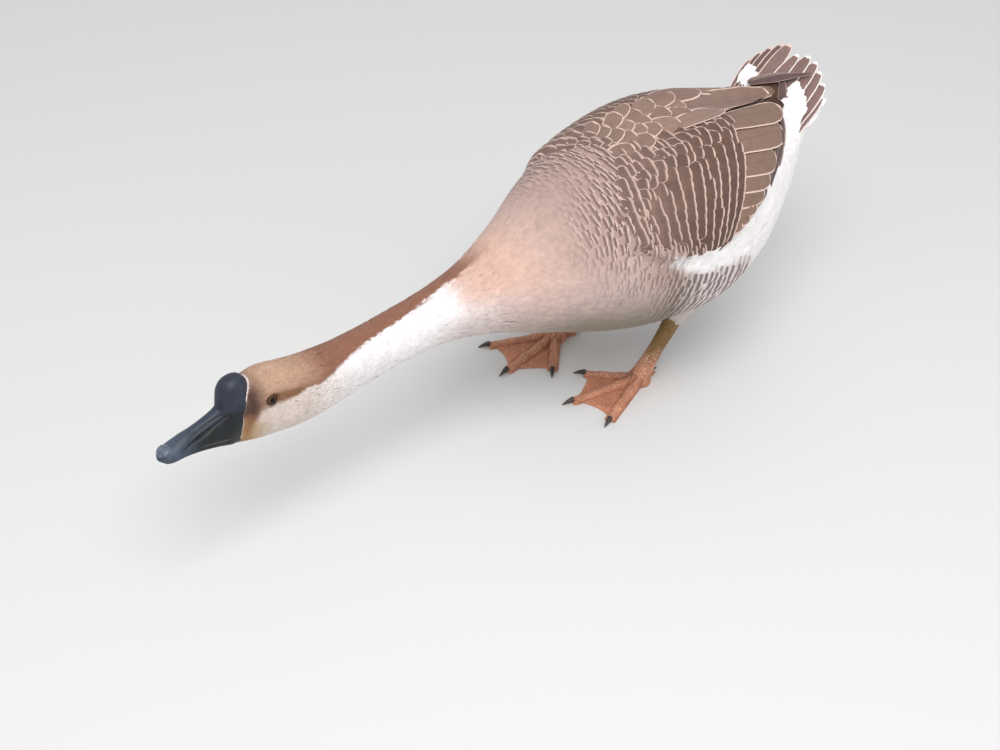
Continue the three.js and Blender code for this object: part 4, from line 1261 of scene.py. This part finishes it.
def scapulars():
    # rows of broad feathers over the back between the wings, longest at the rear, each lapping over the next
    # one outwards
    s, v, long, width, angle, rise = np.array(backFeathers, float).T
    block = wingVanes(broad, s, v, angle, long, width, lift=-1.1 + 0.35 * np.arange(len(s)),
                      slope=rise / long, camber=0.004, thick=0.3)
    blocks = [paint(block, tints["scapular"], 0.05, 0.95, rim=(2.2, 1.8))]
    for i, tip in enumerate(scapularRows["tips"]):
        half = curve(backHalf, tip)
        apart, long, widest, slant = (mix(*scapularRows[key], ramp(i, 0, 4))
                                      for key in ("apart", "long", "width", "slant"))
        path = bodySurface(np.array([tip, tip]), np.array([-half, half]))
        number = max(int(np.linalg.norm(path[1] - path[0]) / apart) + 1, 2)
        across = (np.arange(number) - (number - 1) / 2 + 0.5 * (i % 2) - 0.25) * 2 * half / number
        s, v = tip - 0.03 * across**2 + rng.normal(0, 2.5, number), line(backMiddle, tip) + across
        angle = np.sign(across) * slant + rng.normal(0, 2, number)
        width = widest * rng.uniform(0.94, 1.06, number)
        block = wingVanes(broad, s, v, angle, long, width, lift=-2.3, slope=3.2 / long, camber=0.012,
                          tilt=-0.04 * np.sign(across), thick=0.3)
        blocks.append(paint(block, tints["scapular"], 0.07, 0.9, rim=(2.0, 1.7)))
    return blocks


def wingBed(side):
    # a thin brown sheet under the feathers, so that nothing pale shows between them
    s, g = np.linspace(*bed["s"], 60)[:, None], np.linspace(*bed["share"], 30)[None, :]
    v = side * mix(line(wingRows, s, 1), line(wingRows, s, 2), g)
    return closedTube(joined([wingSurface(s, v, bed["top"]), wingSurface(s, v, bed["low"])[:, ::-1]], 1))


for side, hand in ((1, "left"), (-1, "right")):
    surface = wingBed(side)
    tint = evenTint(surface[0], tints["covertLow"] * 0.7)
    settle(makeMesh(f"wing_bed_{hand}", surface, [down], tint=tint), "wing_feathers")
    makePlumage(f"wing_coverts_{hand}_plumage", "wing_feathers", coverts(side), f"wing_coverts_{hand}")
    inner = innermost if side < 0 else []
    blocks = [flightFeathers(secondaries + inner, side, "secondary", -2.6, 2.8, 0.085, 1.0),
              flightFeathers(primaries, side, "primary", -3.8, 3.4, 0.02, 0.3)]
    makePlumage(f"wing_secondaries_{hand}_plumage", "wing_feathers", blocks, f"wing_secondaries_{hand}")
makePlumage("scapular_plumage", "body_feathers", scapulars())

# tail, wing tips and thighs

tail = {"aside": -6, "height": 19, "turn": -4, "roll": 9, "vault": 0.0018}
tailCentre, tailBack, tailLeft, tailUp = bodyFrame(np.array(712.0))


def tailSurface(along, x, lift=0.0):
    # the tail's sheet: along it, across it to the left, arched and rolled about its length
    along, x, lift = matched(along, x, lift)
    rise = tail["height"] - (tail["vault"] * x**2 + x * math.sin(math.radians(tail["roll"]))) + lift
    return moved(tailCentre, along, tailBack, x, tailLeft, rise, tailUp)


# the tail's main feathers from left to right: x and along at the tip, degrees, length, width, lift
tailRows = [(37, 20, -4, 70, 15, -2.6), (31, 32, -5, 80, 16, -1.9), (20, 41, -6, 88, 16, -1.2),
            (10, 48, -5, 96, 16, -0.5), (0, 49.5, 0, 98, 17, 0.2), (-11, 44.5, 2, 94, 15, 0.9),
            (-27, 50.5, -2, 100, 18, 0.5), (-35, 47, -3, 94, 17, -0.3), (-43, 39, -5, 86, 17, -1.1),
            (-49, 30, -7, 76, 17, -1.9), (-54, 18, -9, 62, 15, -2.7)]


def tailVanes(template, along, x, angle, long, width, rootPlace, **how):  # vanes by the places of their tips
    c, d = waysOf(angle)
    return featherBlock(template, tailSurface, along - long * c, x - long * d, angle, long, width, slope=0.0,
                        root=(rootPlace + 0 * x, x), **how)


def rectrices():
    # the middle feathers lie on top, and those beside them lap under one another
    x, along, angle, long, width, lift = np.array(tailRows, float).T
    block = tailVanes(rectrix, along, x, angle, long, width, 690, lift=lift, camber=0.0,
                      tilt=0.04 * np.sign(x + 16), thick=0.3)
    shade = np.where(x < -30, 0.72, 1.0)[:, None]
    return paint(block, tints["tail"] * shade, 0.05, np.where(x > -20, 1.3, 1.1), rim=(3.4, 1.2))


def tailCoverts(lifts, tips, half, long, width, tint, middle, bend=0.012, lean=0.0):
    blocks = []
    for row, tip in enumerate(tips):
        number = int(2 * half / (width * 0.5))
        x = (np.arange(number) - (number - 1) / 2) * width * 0.5 + rng.normal(0, 1, number) + middle
        angle = (x - tail["aside"]) * 0.15 + tail["turn"] + rng.normal(0, 2, number)
        along = tip - bend * (x - middle) ** 2 - lean * (x - middle) + rng.normal(0, 1.5, number)
        block = tailVanes(contour, along, x, angle, long, width, 700,
                          lift=mix(*lifts, row / max(len(tips) - 1, 1)), camber=0.03, thick=0.25)
        blocks.append(paint(block, tints[tint], 0.02))
    return blocks


makePlumage("tail_plumage", "tail_feathers", [rectrices()], "tail")
# white coverts over and under the tail's root, and patches beside it
blocks = tailCoverts((1.6, 4.6), (10, 2, -6, -14, -22), 17, 26, 10, "white", 23, 0.022, 0.75)
blocks += tailCoverts((0.6, 1.2), (9, 3), 9, 22, 8, "white", -44, 0.05)
makePlumage("upper_tail_coverts", "rump_feathers", blocks)
# dark brown rump feathers between the wings: painted shade of the hollow there
blocks = tailCoverts((1.2, 3.2), (4, -4, -12, -20), 21, 28, 12, "covertLow", -8)
makePlumage("rump_shade_plumage", "rump_feathers", blocks)
blocks = tailCoverts((-3.0, -6.0), (18, 9, 0, -9), 24, 30, 11, "white", -6)
blocks += tailCoverts((-4.0, -5.5), (20, 12, 4), 9, 34, 7, "white", 36)
makePlumage("under_tail_coverts", "rump_feathers", blocks)

# the longest wing feathers cross over the tail, the right wing's on top: x, along and rise at base and end
wingTips = {"left": ((21, -24, 3.6), (-10, 16, 3.8), 1.5), "right": ((-31, -16, 8.0), (20, 31, 7.2), -1.5)}
for hand, (base, end, apart) in wingTips.items():
    # four nested vanes, the longest on top
    way = np.array(end[:2], float) - base[:2]
    reach = float(np.linalg.norm(way))
    turn = math.atan2(way[0], way[1])
    k = np.arange(4)
    along, across = base[1] - apart * k * math.sin(turn), base[0] + apart * k * math.cos(turn)
    block = featherBlock(pointed, tailSurface, along, across, math.degrees(turn), reach - 8.0 * k, 9.5,
                         lift=base[2] - 0.5 * k, slope=(end[2] - base[2]) / reach, camber=0.03, thick=0.35,
                         root=(700 + 0 * k, across))
    paint(block, tints["primary"] * (1 + 0.15 * k[:, None]), 0.0, 0.5, rim=(1.0, 0.5))
    makePlumage(f"wing_tip_{hand}_plumage", "wing_feathers", [block], f"wing_primaries_{hand}")

# rows of small vanes down the thigh as shares of its length, mm between rows and vanes, and their length
thighCoat = {"rows": (0.24, 0.90), "pitch": 2.6, "apart": 4.2, "long": (20, 11)}
for hand, leg in legs.items():
    knee, axis = leg["knee"], leg["hock"] - leg["knee"]
    shin = float(np.linalg.norm(axis))
    axis = unit(axis)
    aside = unit(np.cross(axis, [0, 1, 0]))
    front = np.cross(axis, aside)
    # half width of the thigh: distance down from the knee, mm
    thighRows = [(-shin, 25), (0, 24), (shin * 0.3, 22), (shin * 0.7, 16), (shin, 10), (shin * 1.4, 10)]

    def thighSurface(a, b, lift=0.0):
        # a cone from knee to hock: a in mm down it, b in degrees round it
        a, b, lift = matched(a, b, lift)
        wide, (c, d) = curve(thighRows, a) + lift, waysOf(b)
        return moved(knee, a, axis, wide * c, aside, wide * d, front)

    places = []
    for a in np.arange(shin * thighCoat["rows"][0], shin * thighCoat["rows"][1], thighCoat["pitch"]):
        number = int(2 * math.pi * curve(thighRows, a) / thighCoat["apart"])
        places.append(np.stack([a + rng.normal(0, 0.5, number), (np.arange(number) + rng.random())
                                / number * 360 + rng.normal(0, 3, number)]))
    a, b = joined(places, 1)
    long = mix(*thighCoat["long"], ramp(a / shin, 0.3, 1.0)) * rng.uniform(0.9, 1.1, len(a))
    block = featherBlock(tuft, thighSurface, a, b, rng.normal(0, 6, len(a)), long, long * 0.5, lift=-1.0,
                         slope=2.6 / long, thick=0.14, root=(780 + a, b - 180))
    # the belly's tint, which carries painted shade, is mixed into the thigh's colour
    paint(block, mix(tints["belly"], tints["flank"], 0.7), 0.05, 0.12, 0.2, 6 / long)
    makePlumage(f"thigh_{hand}_plumage", "breast_feathers", [block])
